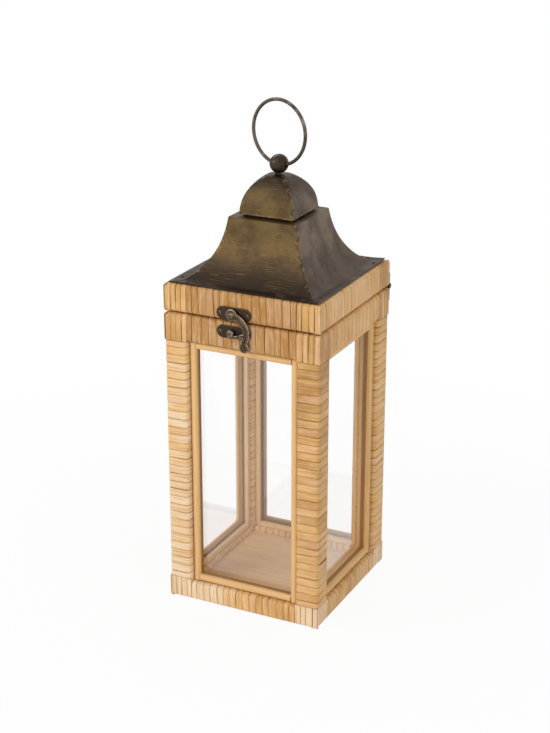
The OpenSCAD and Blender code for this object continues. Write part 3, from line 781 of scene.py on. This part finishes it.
def cover(g, part, other):
    """Mixes part of another shader over the Principled one."""
    mixed = g.add("ShaderNodeMixShader", {0: part, 1: Wire(g, g.shader.outputs[0]), 2: other})
    g.fill(g.tree.nodes["Material Output"], {"Surface": mixed})


def peel_finish(g, peel):
    g.fill(g.shader, {"Coat Weight": 0.07, "Coat Roughness": 0.3, "Specular IOR Level": 0.25})
    tones = {tone.title(): getattr(peel, tone)
             for tone in ("pale", "honey", "amber", "seam", "blush", "fleck")}
    join_finish(g, tree("Peel Fibre", peel_group), tones, strength=0.5, depth=0.00025)


def grain(g, place, light, dark, fineness):
    join_finish(g, tree("Wood Grain", grain_group), {
        "Vector": place, "Light": light, "Dark": dark, "Fineness": fineness}, strength=0.4, depth=0.0002)


def wood_finish(g, wood, light, dark, fineness, lies=False):
    """Plain wood with its grain upright, or level along X where the piece lies."""
    place = g.spot()
    if lies:
        x, y, z = g.parts(place)
        place = g.vector(y * 0.3, z, x)
    grain(g, place, getattr(wood, light), getattr(wood, dark), fineness)


def trim_finish(g, wood):
    """Half-round trim: the grain runs up the uprights and along the level strips, with painted shade on the
    flank by the glass and in the crease where the trim meets the peel."""
    low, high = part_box("window_trim_front")
    x, y, z = g.parts(g.spot())
    lies = g.math("GREATER_THAN", abs(z - (low.z + high.z) / 2), (high.z - low.z) / 2 - TRIM_W)
    place = g.vector(x + (z - x) * lies, y + (z - y) * lies, z + (x + y - z) * lies)
    # Painted shade on the trim's flank down by the glass
    flank_shade = g.step(g.larger(abs(x), abs(y)), -low.y - 0.0034, -low.y - 0.0048)
    # Painted shade in the crease where the trim meets the peel
    rim = g.smaller(high.x - g.smaller(abs(x), abs(y)), g.smaller(high.z - z, z - low.z))
    crease_shade = g.step(rim, 0.0016, 0.0003) * 0.8
    light, dark = (g.mix(crease_shade, g.mix(flank_shade, face, flank), wood.crease_shade) for face, flank in (
        (wood.trim, wood.flank_shade), (wood.trim_dark, wood.flank_shade_grain)))
    grain(g, place, light, dark, 1.0)


def patina(g, tones, rub, shade, scratch, metallic, strength=0.3, depth=0.0002):
    """Patina with its dark, face and rubbed tones; what is rubbed shows the last."""
    values = dict(zip(("Vector", "Dark", "Bronze", "Rubbed"), (g.spot(), *tones)))
    join_finish(g, tree("Brushed Patina", patina_group), {
        **values, "Rub": rub, "Shade": shade, "Scratch": scratch}, strength, depth, metallic)


def roof_finish(g, metal):
    """Sheet of the roof: mottled along the hips, with painted shade at the foot and on top, and a painted
    reflection that greys the sides.
    """
    spot = g.spot()
    x, y, z = g.parts(spot)
    across, along = abs(x), abs(y)
    ragged = g.noise(spot, 240.0, 3.0, 0.6)
    hip = g.step(abs(across - along), 0.0044, 0.0012)
    lip = g.step(abs(z - (ROOF_STEP + DOME_LIFT + 0.0007)), 0.0013, 0.0003)
    rub = g.larger(hip * g.step(ragged, 0.52, 0.66) * 0.6, lip * g.step(ragged, 0.36, 0.6) * 0.45)
    # Painted shade: darker at the foot of the flare and over the top of the dome; the dark spots along the
    # hips are mottled patina
    foot = g.step(z, ROOF_FOOT + 0.036, ROOF_FOOT + 0.006) * 0.95
    crown = g.step(z, ROOF_STEP + 0.012, ROOF_STEP + 0.034) * 0.9
    shade = g.larger(hip * g.step(ragged, 0.5, 0.38) * 0.7, g.larger(foot, crown))
    # Painted reflection: the sides are greyer, with less of the painted shade and fewer scratches
    side = g.step(across - along, -0.0015, 0.0015)
    patina(g, (metal.dark, g.mix(side, metal.bronze, metal.side_sheen), metal.rubbed), rub,
           shade * (1.0 - 0.45 * side), 0.32 - 0.24 * side, metallic=0.8, strength=0.35, depth=0.0004)


def fitting_finish(g, metal, face, wear, low=0.3, high=0.6):
    """Cast and pressed fittings: a dark face, worn bright where an edge is rounded."""
    facing = abs(g.parts(g.spot("Normal"))[1])
    edge = g.step(facing, low, high) * g.step(facing, 0.985, 0.93)
    rub = edge * g.step(g.noise(g.spot(), 420.0, 3.0, 0.6), 0.34, 0.56) * wear
    tones = metal.pit, getattr(metal, face), metal.worn
    patina(g, tones, rub, shade=0.1, scratch=0.12, metallic=0.75)


def round_finish(g, metal, face, worn, worn_share):
    """Ball and wire: patches of worn metal kept to the upper side, partly a painted highlight, and painted
    shade on the undersides.
    """
    facing = g.parts(g.spot("Normal"))[2]
    worn_spot = g.step(g.noise(g.spot(), 130.0, 3.0, 0.6), 0.5, 0.66)
    # Worn patches only on the upper side, partly a painted highlight; the shade passed on below is painted
    # shade on the undersides
    rub = worn_spot * worn_share * g.step(facing, -0.4, 0.5)
    tones = metal.dark, getattr(metal, face), getattr(metal, worn)
    patina(g, tones, rub, g.step(facing, 0.15, -0.75) * 0.7, scratch=0.1, metallic=0.85)


def glass_finish(g, glass):
    """Clear glass that lets light through to what stands behind it."""
    spot = g.spot()
    smear = g.noise(spot, 14.0, 3.0, 0.6)
    ripple = g.add("ShaderNodeBump", {"Strength": 0.05, "Distance": 0.0004, "Height": g.noise(spot, 26.0)})
    g.fill(g.shader, {
        "Roughness": g.step(smear, 0.45, 0.75, 0.0, 0.04), "Normal": ripple,
        "Base Color": g.mix(g.step(smear, 0.4, 0.8), glass.tint, glass.smear),
        "Transmission Weight": 1.0, "IOR": 1.52})
    clear = g.add("ShaderNodeBsdfTransparent", {"Color": (glass.clear,) * 3 + (1.0,)})
    cover(g, g.rays("Shadow", "Diffuse"), clear)


FINISHES = {
    "Rattan Peel": ("lantern_peel", peel_finish),
    "Peel End": ("lantern_peel", wood_finish, "pale", "honey", 0.8),
    "Window Trim": ("lantern_wood", trim_finish),
    "Glazing Bead": ("lantern_wood", wood_finish, "bead", "trim", 0.8),
    "Plywood": ("lantern_wood", wood_finish, "board", "board_dark", 0.5, True),
    "Frame Wood": ("lantern_wood", wood_finish, "core", "core_dark", 0.6),
    "Window Glass": ("lantern_glass", glass_finish),
    "Bronze Sheet": ("lantern_metal", roof_finish),
    "Bronze Ball": ("lantern_metal", round_finish, "ball", "ball_worn", 0.7),
    "Bronze Wire": ("lantern_metal", round_finish, "wire", "wire_wear_and_highlight", 0.5),
    "Dark Plate": ("lantern_metal", fitting_finish, "plate", 0.5),
    "Dark Tack": ("lantern_metal", fitting_finish, "plate", 0.2),
    "Worn Hook": ("lantern_metal", fitting_finish, "hook", 0.7, 0.15, 0.45),
}


def finish_of(name):
    """The material of that name, made when it is first asked for."""
    if name not in bpy.data.materials:
        group, make, *values = FINISHES[name]
        make(start_finish(name), getattr(bpy.context.scene, group), *values)
    return bpy.data.materials[name]


# Operators

def lay_peel(name, node, body, node_tree, place, values):
    """Grows peel strips in place of a CAD node."""
    peel = bpy.context.scene.lantern_peel
    made = grow(name, node_tree, place, {
        "Peel": PEEL, "Gap": peel.gap, "Round": peel.corner, "Waver": peel.waver,
        "Finish": finish_of("Rattan Peel"), **values})
    dress(made, None, body, "rattan_peel", node)


def wind(node, core, body, turns, first, tone, drift, seed, lies):
    """Winds peel round a rail, which lies on a numbered side, or round a post, where that is None."""
    spread = bpy.context.scene.lantern_peel.spread
    low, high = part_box(core)
    peel_low, peel_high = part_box(node)
    size = high - low
    if lies is None:
        half_x, half_y, run, turn = size.x / 2, size.y / 2, peel_high.z - peel_low.z, Matrix()
        spread *= POST_SPREAD
    else:
        half_x, half_y = size.z / 2, (size.x if lies % 2 else size.y) / 2
        run = (peel_high - peel_low)[lies % 2]
        turn = Matrix.Rotation(lies * QUARTER, 4, "Z") @ Matrix.Rotation(QUARTER, 4, "Y")
    place = Matrix.Translation((peel_low + peel_high) / 2) @ turn
    lay_peel("wound_" + node, node, body, tree("Peel Winding", winding_tree), place, {
        "Half X": half_x, "Half Y": half_y, "Length": run, "Turns": turns, "First Side": first,
        "Seed": seed, "Steps": WOUND_STEPS, "Tone": tone, "Drift": drift, "Spread": spread,
        "Slip": SLIPPED_TURN if node.endswith("_front_right") else NO_SLIP})


class LANTERN_OT_wind_posts(bpy.types.Operator):
    """Wind peel round the four posts"""
    bl_idname = "lantern.wind_posts"
    bl_label = "Wind Posts"

    def execute(self, context):
        tones = ((0.5, 0.33), (0.5, 0.1), (0.3, 0.2), (0.04, 0.36))
        for i, (place, tone) in enumerate(zip(POSTS, tones)):
            wind("post_peel_" + place, "post_" + place, "body", context.scene.lantern_peel.post_turns,
                 (i + 2) % 4, *tone, i + 1.0, None)
        return {"FINISHED"}


class LANTERN_OT_wind_rails(bpy.types.Operator):
    """Wind peel round the bottom, top and lid rails"""
    bl_idname = "lantern.wind_rails"
    bl_label = "Wind Rails"

    def execute(self, context):
        peel = context.scene.lantern_peel
        rows = (("sill_peel_", "sill_", "body", peel.sill_turns, 1, (0.05, 0.5, 0.4, 0.4), 0.75),
                ("head_peel_", "head_", "body", peel.head_turns, 2, (0.95, 0.56, 0.5, 0.5), 0.0),
                ("lid_peel_", "lid_rail_", "lid", peel.lid_turns, 2, (1.0, 0.45, 0.5, 0.5), 0.0))
        for row, (peel_name, core, body, turns, first, tones, drift) in enumerate(rows):
            for k, side in enumerate(SIDES):
                wind(peel_name + side, core + side, body, turns, first, tones[k], 0.0 if k else drift,
                     10.0 + 4 * row + k, k)
        return {"FINISHED"}


class LANTERN_OT_cover_corners(bpy.types.Operator):
    """Lay upright strips over the corners at the foot, the top and the lid"""
    bl_idname = "lantern.cover_corners"
    bl_label = "Cover Corners"

    def execute(self, context):
        for node, body, top, foot, tone, seed in (
                ("corner_peel_foot", "body", 0.0, 1.0, 0.1, 31.0),
                ("corner_peel_top", "body", 1.0, 0.0, 0.68, 32.0),
                ("corner_peel_lid", "lid", 1.0, 1.0, 0.66, 33.0)):
            low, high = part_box(node)
            lay_peel("laid_" + node, node, body, tree("Peel Straps", strap_tree), Matrix(), {
                "Count": LAID_COUNT, "Height": high.z - low.z, "Foot": low.z, "Core Half": CORE_HALF,
                "Post Width": POST_W, "Fold Top": top, "Fold Foot": foot,
                "Long Fold": POST_W - PEEL - 0.0005, "Steps": LAID_STEPS, "Seed": seed, "Tone": tone,
                "Spread": context.scene.lantern_peel.spread * LAID_SPREAD})
        return {"FINISHED"}


class LANTERN_OT_tuck_ends(bpy.types.Operator):
    """Fold the start of each post's winding under its first turn, beside the window trims"""
    bl_idname = "lantern.tuck_ends"
    bl_label = "Tuck Ends"

    def execute(self, context):
        inner = HALF - POST_W + PEEL
        low = Vector((inner - PEEL + HAIR, -CORE_HALF, SILL_TOP - END_LAP))
        high = Vector((inner, PEEL - HAIR - inner, FOOT_TOP + END_EDGE))
        place = Matrix.Translation((low + high) / 2) @ Matrix.Diagonal((*(high - low), 1.0))
        swap = Matrix(((0, -1, 0, 0), (-1, 0, 0, 0), (0, 0, 1, 0), (0, 0, 0, 1)))
        mesh = bpy.data.meshes.new("tucked_ends")
        with Editing(mesh) as work:
            for i in range(4):
                for face in (Matrix(), swap):
                    bmesh.ops.create_cube(
                        work, size=1.0, matrix=Matrix.Rotation(i * QUARTER, 4, "Z") @ face @ place)
            bmesh.ops.recalc_face_normals(work, faces=work.faces)
            bmesh.ops.bevel(work, geom=work.edges[:], offset=END_EDGE, segments=2, affect="EDGES")
        shade_by_angle(mesh, 40)
        dress(new_object("tucked_ends", mesh), finish_of("Peel End"), "body", "rattan_peel")
        return {"FINISHED"}


class LANTERN_OT_finish_wood(bpy.types.Operator):
    """Finish the window trims, the beads, the board and the wood under the peel"""
    bl_idname = "lantern.finish_wood"
    bl_label = "Finish Wood"

    def execute(self, context):
        repaint(finish_of("Window Trim"), *["window_trim_" + side for side in SIDES])
        repaint(finish_of("Glazing Bead"), "glazing_beads")
        repaint(finish_of("Plywood"), "base_board")
        rails = [row + side for row in ("sill_", "head_", "lid_rail_") for side in SIDES]
        repaint(finish_of("Frame Wood"), *["post_" + place for place in POSTS], *rails)
        return {"FINISHED"}


class LANTERN_OT_finish_glass(bpy.types.Operator):
    """Finish the four panes"""
    bl_idname = "lantern.finish_glass"
    bl_label = "Finish Glass"

    def execute(self, context):
        repaint(finish_of("Window Glass"), *["glass_" + side for side in SIDES])
        return {"FINISHED"}


def square_ring(half, height, radius, side_steps=28, corner_steps=6):
    """Points of a square with rounded corners."""
    flat = half - radius
    points = []
    for quarter in range(4):
        turn = Matrix.Rotation(quarter * QUARTER, 3, "Z")
        points += [turn @ Vector((half, flat * (2 * i / side_steps - 1), 0)) for i in range(side_steps)]
        for i in range(corner_steps):
            bend = QUARTER * i / corner_steps
            points.append(turn @ Vector((flat + radius * math.cos(bend), flat + radius * math.sin(bend), 0)))
    return [Vector((p.x, p.y, height)) for p in points]


def sheet_from(name, outline, radius_at, dent, seed, curl=0.0):
    """Square sheet-metal shell from an outline of (half width, height), with soft dents and a real wall.

    An outline that ends within a millimetre of the axis is closed there."""
    rings = []
    for half, height in outline:
        ring = square_ring(half, height, min(radius_at(height), half * 0.9))
        for p in ring:
            sink = dent * max(0.0, noise.noise(p * DENT_FINENESS + Vector((seed, 0, 0))))
            lift = curl * min(1.0, max(0.0, (p.x + p.y) / FLANGE_HALF - 1.74) / 0.26) ** 2
            p -= Vector((p.x, p.y, 0)).normalized() * sink
            p.z += lift
        rings.append(ring)
    obj = from_rings(name, rings, closed_ends=False)
    with Editing(obj.data) as work:
        if outline[-1][0] < 0.001:
            work.verts.ensure_lookup_table()
            work.faces.new(work.verts[-len(rings[-1]):])
        bmesh.ops.recalc_face_normals(work, faces=work.faces)
        if sum(face.normal.dot(face.calc_center_median()) * face.calc_area() for face in work.faces) < 0:
            bmesh.ops.reverse_faces(work, faces=work.faces)
    wall = obj.modifiers.new("Wall", "SOLIDIFY")
    wall.thickness, wall.offset = bpy.context.scene.lantern_metal.sheet, -1.0
    plain_mesh(obj)
    shade_by_angle(obj.data, 50)
    return obj


def curve_points(start, knee, end, steps):
    return [
        tuple((1 - f) ** 2 * a + 2 * f * (1 - f) * b + f * f * c for a, b, c in zip(start, knee, end))
        for f in (i / steps for i in range(steps + 1))]


class LANTERN_OT_form_roof(bpy.types.Operator):
    """Form the flared sheet and the square dome"""
    bl_idname = "lantern.form_roof"
    bl_label = "Form Roof"

    def execute(self, context):
        metal = context.scene.lantern_metal
        finish = finish_of("Bronze Sheet")
        self.form_flare(metal, finish)
        self.form_dome(metal, finish)
        return {"FINISHED"}

    def form_flare(self, metal, finish):
        """Flat flange, flare and ledge: the CAD's curve with a soft foot and a rolled edge on top."""
        skin = ROOF_FOOT + FLANGE_T
        flange = [(FLANGE_HALF - 0.0001, skin - 0.0005), (FLANGE_HALF, skin - 0.0003),
                  (FLANGE_HALF - 0.0003, skin), (0.0735, skin), (0.070, skin)]
        flare = curve_points((0.066, skin), (0.041, ROOF_FOOT + 0.016), (STEP_HALF, ROOF_STEP - 0.0009), 36)
        foot = curve_points((0.0685, skin), (0.0658, skin), flare[2], 5)
        ledge = [(STEP_HALF - 0.0001, ROOF_STEP - 0.0003), (STEP_HALF - 0.0007, ROOF_STEP),
                 (0.031, ROOF_STEP - 0.0003), (0.025, ROOF_STEP - 0.0004), (0.0218, ROOF_STEP - 0.0004)]

        def radius_at(height):
            return metal.hip * (1.0 + 0.5 * (height - ROOF_FOOT) / (ROOF_STEP - ROOF_FOOT))
        outline = flange + foot + flare[3:] + ledge
        made = sheet_from("flared_roof", outline, radius_at, metal.dent, 3.0, metal.curl)
        dress(made, finish, "lid", "bronze_sheet", "roof_flare")

    def form_dome(self, metal, finish):
        """Oval dome that stands clear of the ledge on a hidden neck, rounder towards its flat top."""
        foot, rise = ROOF_STEP + DOME_LIFT, DOME_TOP - ROOF_STEP
        lip = [(DOME_HALF - 0.0008, foot + 0.0004), (DOME_HALF - 0.0004, foot), (DOME_HALF, foot + 0.0003),
               (DOME_HALF, foot + 0.0013), (DOME_HALF - 0.0003, foot + 0.002)]
        last, steps = math.acos(DOME_FLAT / DOME_HALF), 31
        side = [((DOME_HALF - HAIR) * math.cos(turn), ROOF_STEP + rise * math.sin(turn) / math.sin(last))
                for turn in (last * i / steps for i in range(2, steps))]
        knee = (DOME_FLAT + 0.0004, DOME_TOP - HAIR)
        shoulder = curve_points(side[-1], knee, (DOME_FLAT - 0.0035, DOME_TOP), 6)
        top = [(0.004, DOME_TOP), (0.0009, DOME_TOP)]

        def radius_at(height):
            share_up = max(0.0, (height - ROOF_STEP) / rise - 0.45) / 0.55
            return metal.hip * 1.2 + 0.0075 * share_up ** 1.6
        outline = lip + [p for p in side if p[1] > foot + 0.003] + shoulder[1:] + top
        made = sheet_from("square_dome", outline, radius_at, metal.dent * 0.6, 9.0)
        dress(made, finish, "lid", "bronze_sheet", "roof_dome")
        # The neck takes the dark plate finish: painted shade, so that the gap under the dome's lip reads dark
        neck = [(DOME_HALF - 0.0032, ROOF_STEP - 0.0002), (DOME_HALF - 0.0032, foot + 0.003)]
        made = sheet_from("dome_neck", neck, lambda height: metal.hip, 0.0, 1.0)
        dress(made, finish_of("Dark Plate"), "lid", "bronze_sheet")


def spun(name, outline, steps, place, loop=True):
    """Turned body about X from an outline of (along, radius)."""
    rings = [[Vector((along, radius * math.cos(a), radius * math.sin(a)))
              for a in (math.tau * i / steps for i in range(steps))] for along, radius in outline]
    obj = from_rings(name, rings, loop=loop)
    obj.data.transform(place)
    face_outwards(obj.data)
    shade_by_angle(obj.data, 40)
    return obj


class LANTERN_OT_hang_ring(bpy.types.Operator):
    """Turn the drilled ball with its neck and bend the carrying ring"""
    bl_idname = "lantern.hang_ring"
    bl_label = "Hang Ring"

    def execute(self, context):
        turn = Matrix.Rotation(math.radians(RING_TURN), 4, "Z")
        self.turn_ball(turn)
        self.bend_ring(turn)
        return {"FINISHED"}

    def turn_ball(self, turn):
        """Ball with a bore for the ring, on a stepped collar."""
        finish = finish_of("Bronze Ball")
        low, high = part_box("finial_ball")
        radius, rim, steps = (high.x - low.x) / 2, 0.0003, 40
        start = math.asin(BORE_RADIUS / radius)
        ball = [(-radius * math.cos(a), radius * math.sin(a))
                for a in (start + (math.pi - 2 * start) * i / steps for i in range(steps + 1))]
        reach = radius * math.cos(start)
        ball[0] = (-reach + rim * 0.3, BORE_RADIUS + rim)
        ball[-1] = (reach - rim * 0.3, BORE_RADIUS + rim)
        ball += [(reach - rim, BORE_RADIUS), (0.0, BORE_RADIUS), (-reach + rim, BORE_RADIUS)]
        drilled = spun("finial", ball, 64, Matrix.Translation((0, 0, high.z - radius)) @ turn)
        neck = [(low.z + rise, half) for rise, half in (
            (0.0002, 0.0044), (0.0007, 0.0046), (0.0012, 0.0042),
            (0.0017, 0.0036), (0.0026, 0.0034), (0.004, 0.0032))]
        collar = spun("finial_neck", neck, 40, Matrix.Rotation(-QUARTER, 4, "Y"), loop=False)
        dress(drilled, finish, "lid", "bronze_fitting", "finial_ball")
        dress(collar, finish, "lid", "bronze_fitting")

    def bend_ring(self, turn):
        """Ring of wire whose thickness varies a little, as in drawn wire."""
        low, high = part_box("carry_ring")
        mean = (high.z - low.z) / 2 - WIRE_RADIUS
        rings = []
        for bend in (math.tau * i / RING_STEPS for i in range(RING_STEPS)):
            out = Vector((math.cos(bend), 0, math.sin(bend)))
            uneven = 0.5 + 0.5 * noise.noise(Vector((out.x * 9, out.z * 9, 0)))
            thick = WIRE_RADIUS * (1 - 0.05 * uneven)
            rings.append([out * (mean + thick * math.cos(a)) + Vector((0, thick * math.sin(a), 0))
                          for a in (math.tau * j / WIRE_STEPS for j in range(WIRE_STEPS))])
        ring = from_rings("carrying_ring", rings, loop=True)
        ring.data.transform(Matrix.Translation((0, 0, (low.z + high.z) / 2)) @ turn)
        face_outwards(ring.data)
        shade_by_angle(ring.data, 60)
        dress(ring, finish_of("Bronze Wire"), "ring", "bronze_fitting", "carry_ring")


class LANTERN_OT_fit_latch(bpy.types.Operator):
    """Round the edges of the latch plates and the hook, and finish the stud and pivot"""
    bl_idname = "lantern.fit_latch"
    bl_label = "Fit Latch"

    def execute(self, context):
        plate, hook = finish_of("Dark Plate"), finish_of("Worn Hook")
        for node, body, finish, width, *crown in (
                ("catch_plate", "body", plate, 0.0004), ("latch_plate", "lid", plate, 0.0004),
                ("latch_hook", "hook", hook, 0.0002, 0.0009, 0.0005)):
            dress(softened("soft_" + node, node, width, *crown), finish, body, "bronze_fitting", node)
        repaint(plate, "catch_stud", "latch_rivet")
        return {"FINISHED"}


class LANTERN_OT_fit_hinges(bpy.types.Operator):
    """Finish the hinges, nails and tacks"""
    bl_idname = "lantern.fit_hinges"
    bl_label = "Fit Hinges and Nails"

    def execute(self, context):
        repaint(finish_of("Dark Plate"), "hinge_leaves_lower", "hinge_leaves_upper", "hinge_pins")
        repaint(finish_of("Dark Tack"), "body_tacks", "lid_tacks", "roof_nails")
        return {"FINISHED"}


def look_from(position, forward):
    """Matrix of a camera or lamp at a position that looks along a direction with the image upright."""
    right = forward.cross(Vector((0, 0, 1))).normalized()
    turn = Matrix((right, right.cross(forward), -forward)).transposed().to_4x4()
    return Matrix.Translation(position) @ turn


class LANTERN_OT_set_stage(bpy.types.Operator):
    """Lay the floor, set the lights and place the camera"""
    bl_idname = "lantern.set_stage"
    bl_label = "Set Stage"

    def execute(self, context):
        stage = context.scene.lantern_stage
        self.lay_floor(stage)
        self.light(stage, context.scene)
        self.place_camera(stage, context.scene)
        context.scene.view_settings.view_transform = "Standard"
        return {"FINISHED"}

    def lay_floor(self, stage):
        mesh = bpy.data.meshes.new("floor")
        with Editing(mesh) as work:
            work.faces.new([work.verts.new((FLOOR_RADIUS * math.cos(a), FLOOR_RADIUS * math.sin(a), 0))
                            for a in (math.tau * i / FLOOR_SIDES for i in range(FLOOR_SIDES))])
        floor = new_object("floor", mesh)
        g = start_finish("Pale Floor")
        spot = g.spot()
        specks = g.noise(spot, 60.0, 3.0, 0.6) * 0.03
        g.fill(g.shader, {"Base Color": g.mix(specks, stage.floor, stage.speck), "Roughness": 0.9})
        glow = g.add("ShaderNodeEmission", {"Color": WHITE, "Strength": 1.0})
        away = g.add("ShaderNodeVectorMath", {0: spot}, operation="LENGTH", output="Value")
        cover(g, g.step(away, 0.2, 0.75, stage.glow, 1.0) * g.rays(*SEEN_RAYS), glow)
        mesh.materials.append(g.material)

    def light(self, stage, scene):
        world = bpy.data.worlds.new("Studio")
        world.use_nodes = True
        scene.world = world
        g = Graph(world.node_tree)
        g.fill(g.tree.nodes["Background"], {
            "Color": WHITE, "Strength": stage.sky + (1.0 - stage.sky) * g.rays(*SEEN_RAYS)})
        for name, place, size, power in (("Key", (-1.1, -1.5, 1.7), 1.1, stage.key),
                                         ("Fill", (1.8, -0.7, 0.9), 1.2, stage.fill),
                                         ("Low Fill", (-0.2, -1.4, 0.14), 0.8, stage.low)):
            data = bpy.data.lights.new(name, "AREA")
            data.shape, data.size, data.energy = "SQUARE", size, power
            aim = (Vector((0, 0, LAMP_AIM)) - Vector(place)).normalized()
            new_object(name, data).matrix_world = look_from(Vector(place), aim)

    def place_camera(self, stage, scene):
        a, e, tilt = stage.azimuth, stage.elevation, stage.pitch
        position = stage.distance * Vector((
            math.sin(a) * math.cos(e), -math.cos(a) * math.cos(e), math.sin(e))) + Vector((0, 0, stage.aim))
        a += stage.swing
        forward = Vector((-math.sin(a) * math.cos(tilt), math.cos(a) * math.cos(tilt), -math.sin(tilt)))
        data = bpy.data.cameras.new("Camera")
        data.lens, data.sensor_width = stage.focus, 36.0
        data.clip_start, data.clip_end = 0.05, 40.0
        scene.camera = new_object("Camera", data)
        scene.camera.matrix_world = look_from(position, forward)


class LANTERN_PT_panel(bpy.types.Panel):
    """Lists the pieces of the lantern"""
    bl_idname = "LANTERN_PT_panel"
    bl_label = "Lantern"
    bl_space_type = "VIEW_3D"
    bl_region_type = "UI"
    bl_category = "Lantern"

    def draw(self, context):
        for operator in OPERATORS:
            self.layout.operator(operator.bl_idname)
        for name in GROUPS:
            box = self.layout.box()
            group = getattr(context.scene, name)
            for prop in group.bl_rna.properties:
                if prop.identifier not in ("rna_type", "name"):
                    box.prop(group, prop.identifier)


OPERATORS = (
    LANTERN_OT_set_stage, LANTERN_OT_wind_posts, LANTERN_OT_wind_rails, LANTERN_OT_cover_corners,
    LANTERN_OT_tuck_ends, LANTERN_OT_finish_wood, LANTERN_OT_finish_glass, LANTERN_OT_form_roof,
    LANTERN_OT_hang_ring, LANTERN_OT_fit_latch, LANTERN_OT_fit_hinges,
)
GROUPS = {
    "lantern_peel": LanternPeel,
    "lantern_wood": LanternWood,
    "lantern_metal": LanternMetal,
    "lantern_glass": LanternGlass,
    "lantern_stage": LanternStage,
}


def register():
    for kind in (*GROUPS.values(), *OPERATORS, LANTERN_PT_panel):
        bpy.utils.register_class(kind)
    for name, kind in GROUPS.items():
        setattr(bpy.types.Scene, name, bpy.props.PointerProperty(type=kind))


def unregister():
    for name in GROUPS:
        delattr(bpy.types.Scene, name)
    for kind in (LANTERN_PT_panel, *reversed(OPERATORS), *reversed(GROUPS.values())):
        bpy.utils.unregister_class(kind)


def main():
    register()
    for operator in OPERATORS:
        family, name = operator.bl_idname.split(".")
        getattr(getattr(bpy.ops, family), name)()


if __name__ == "__main__":
    main()
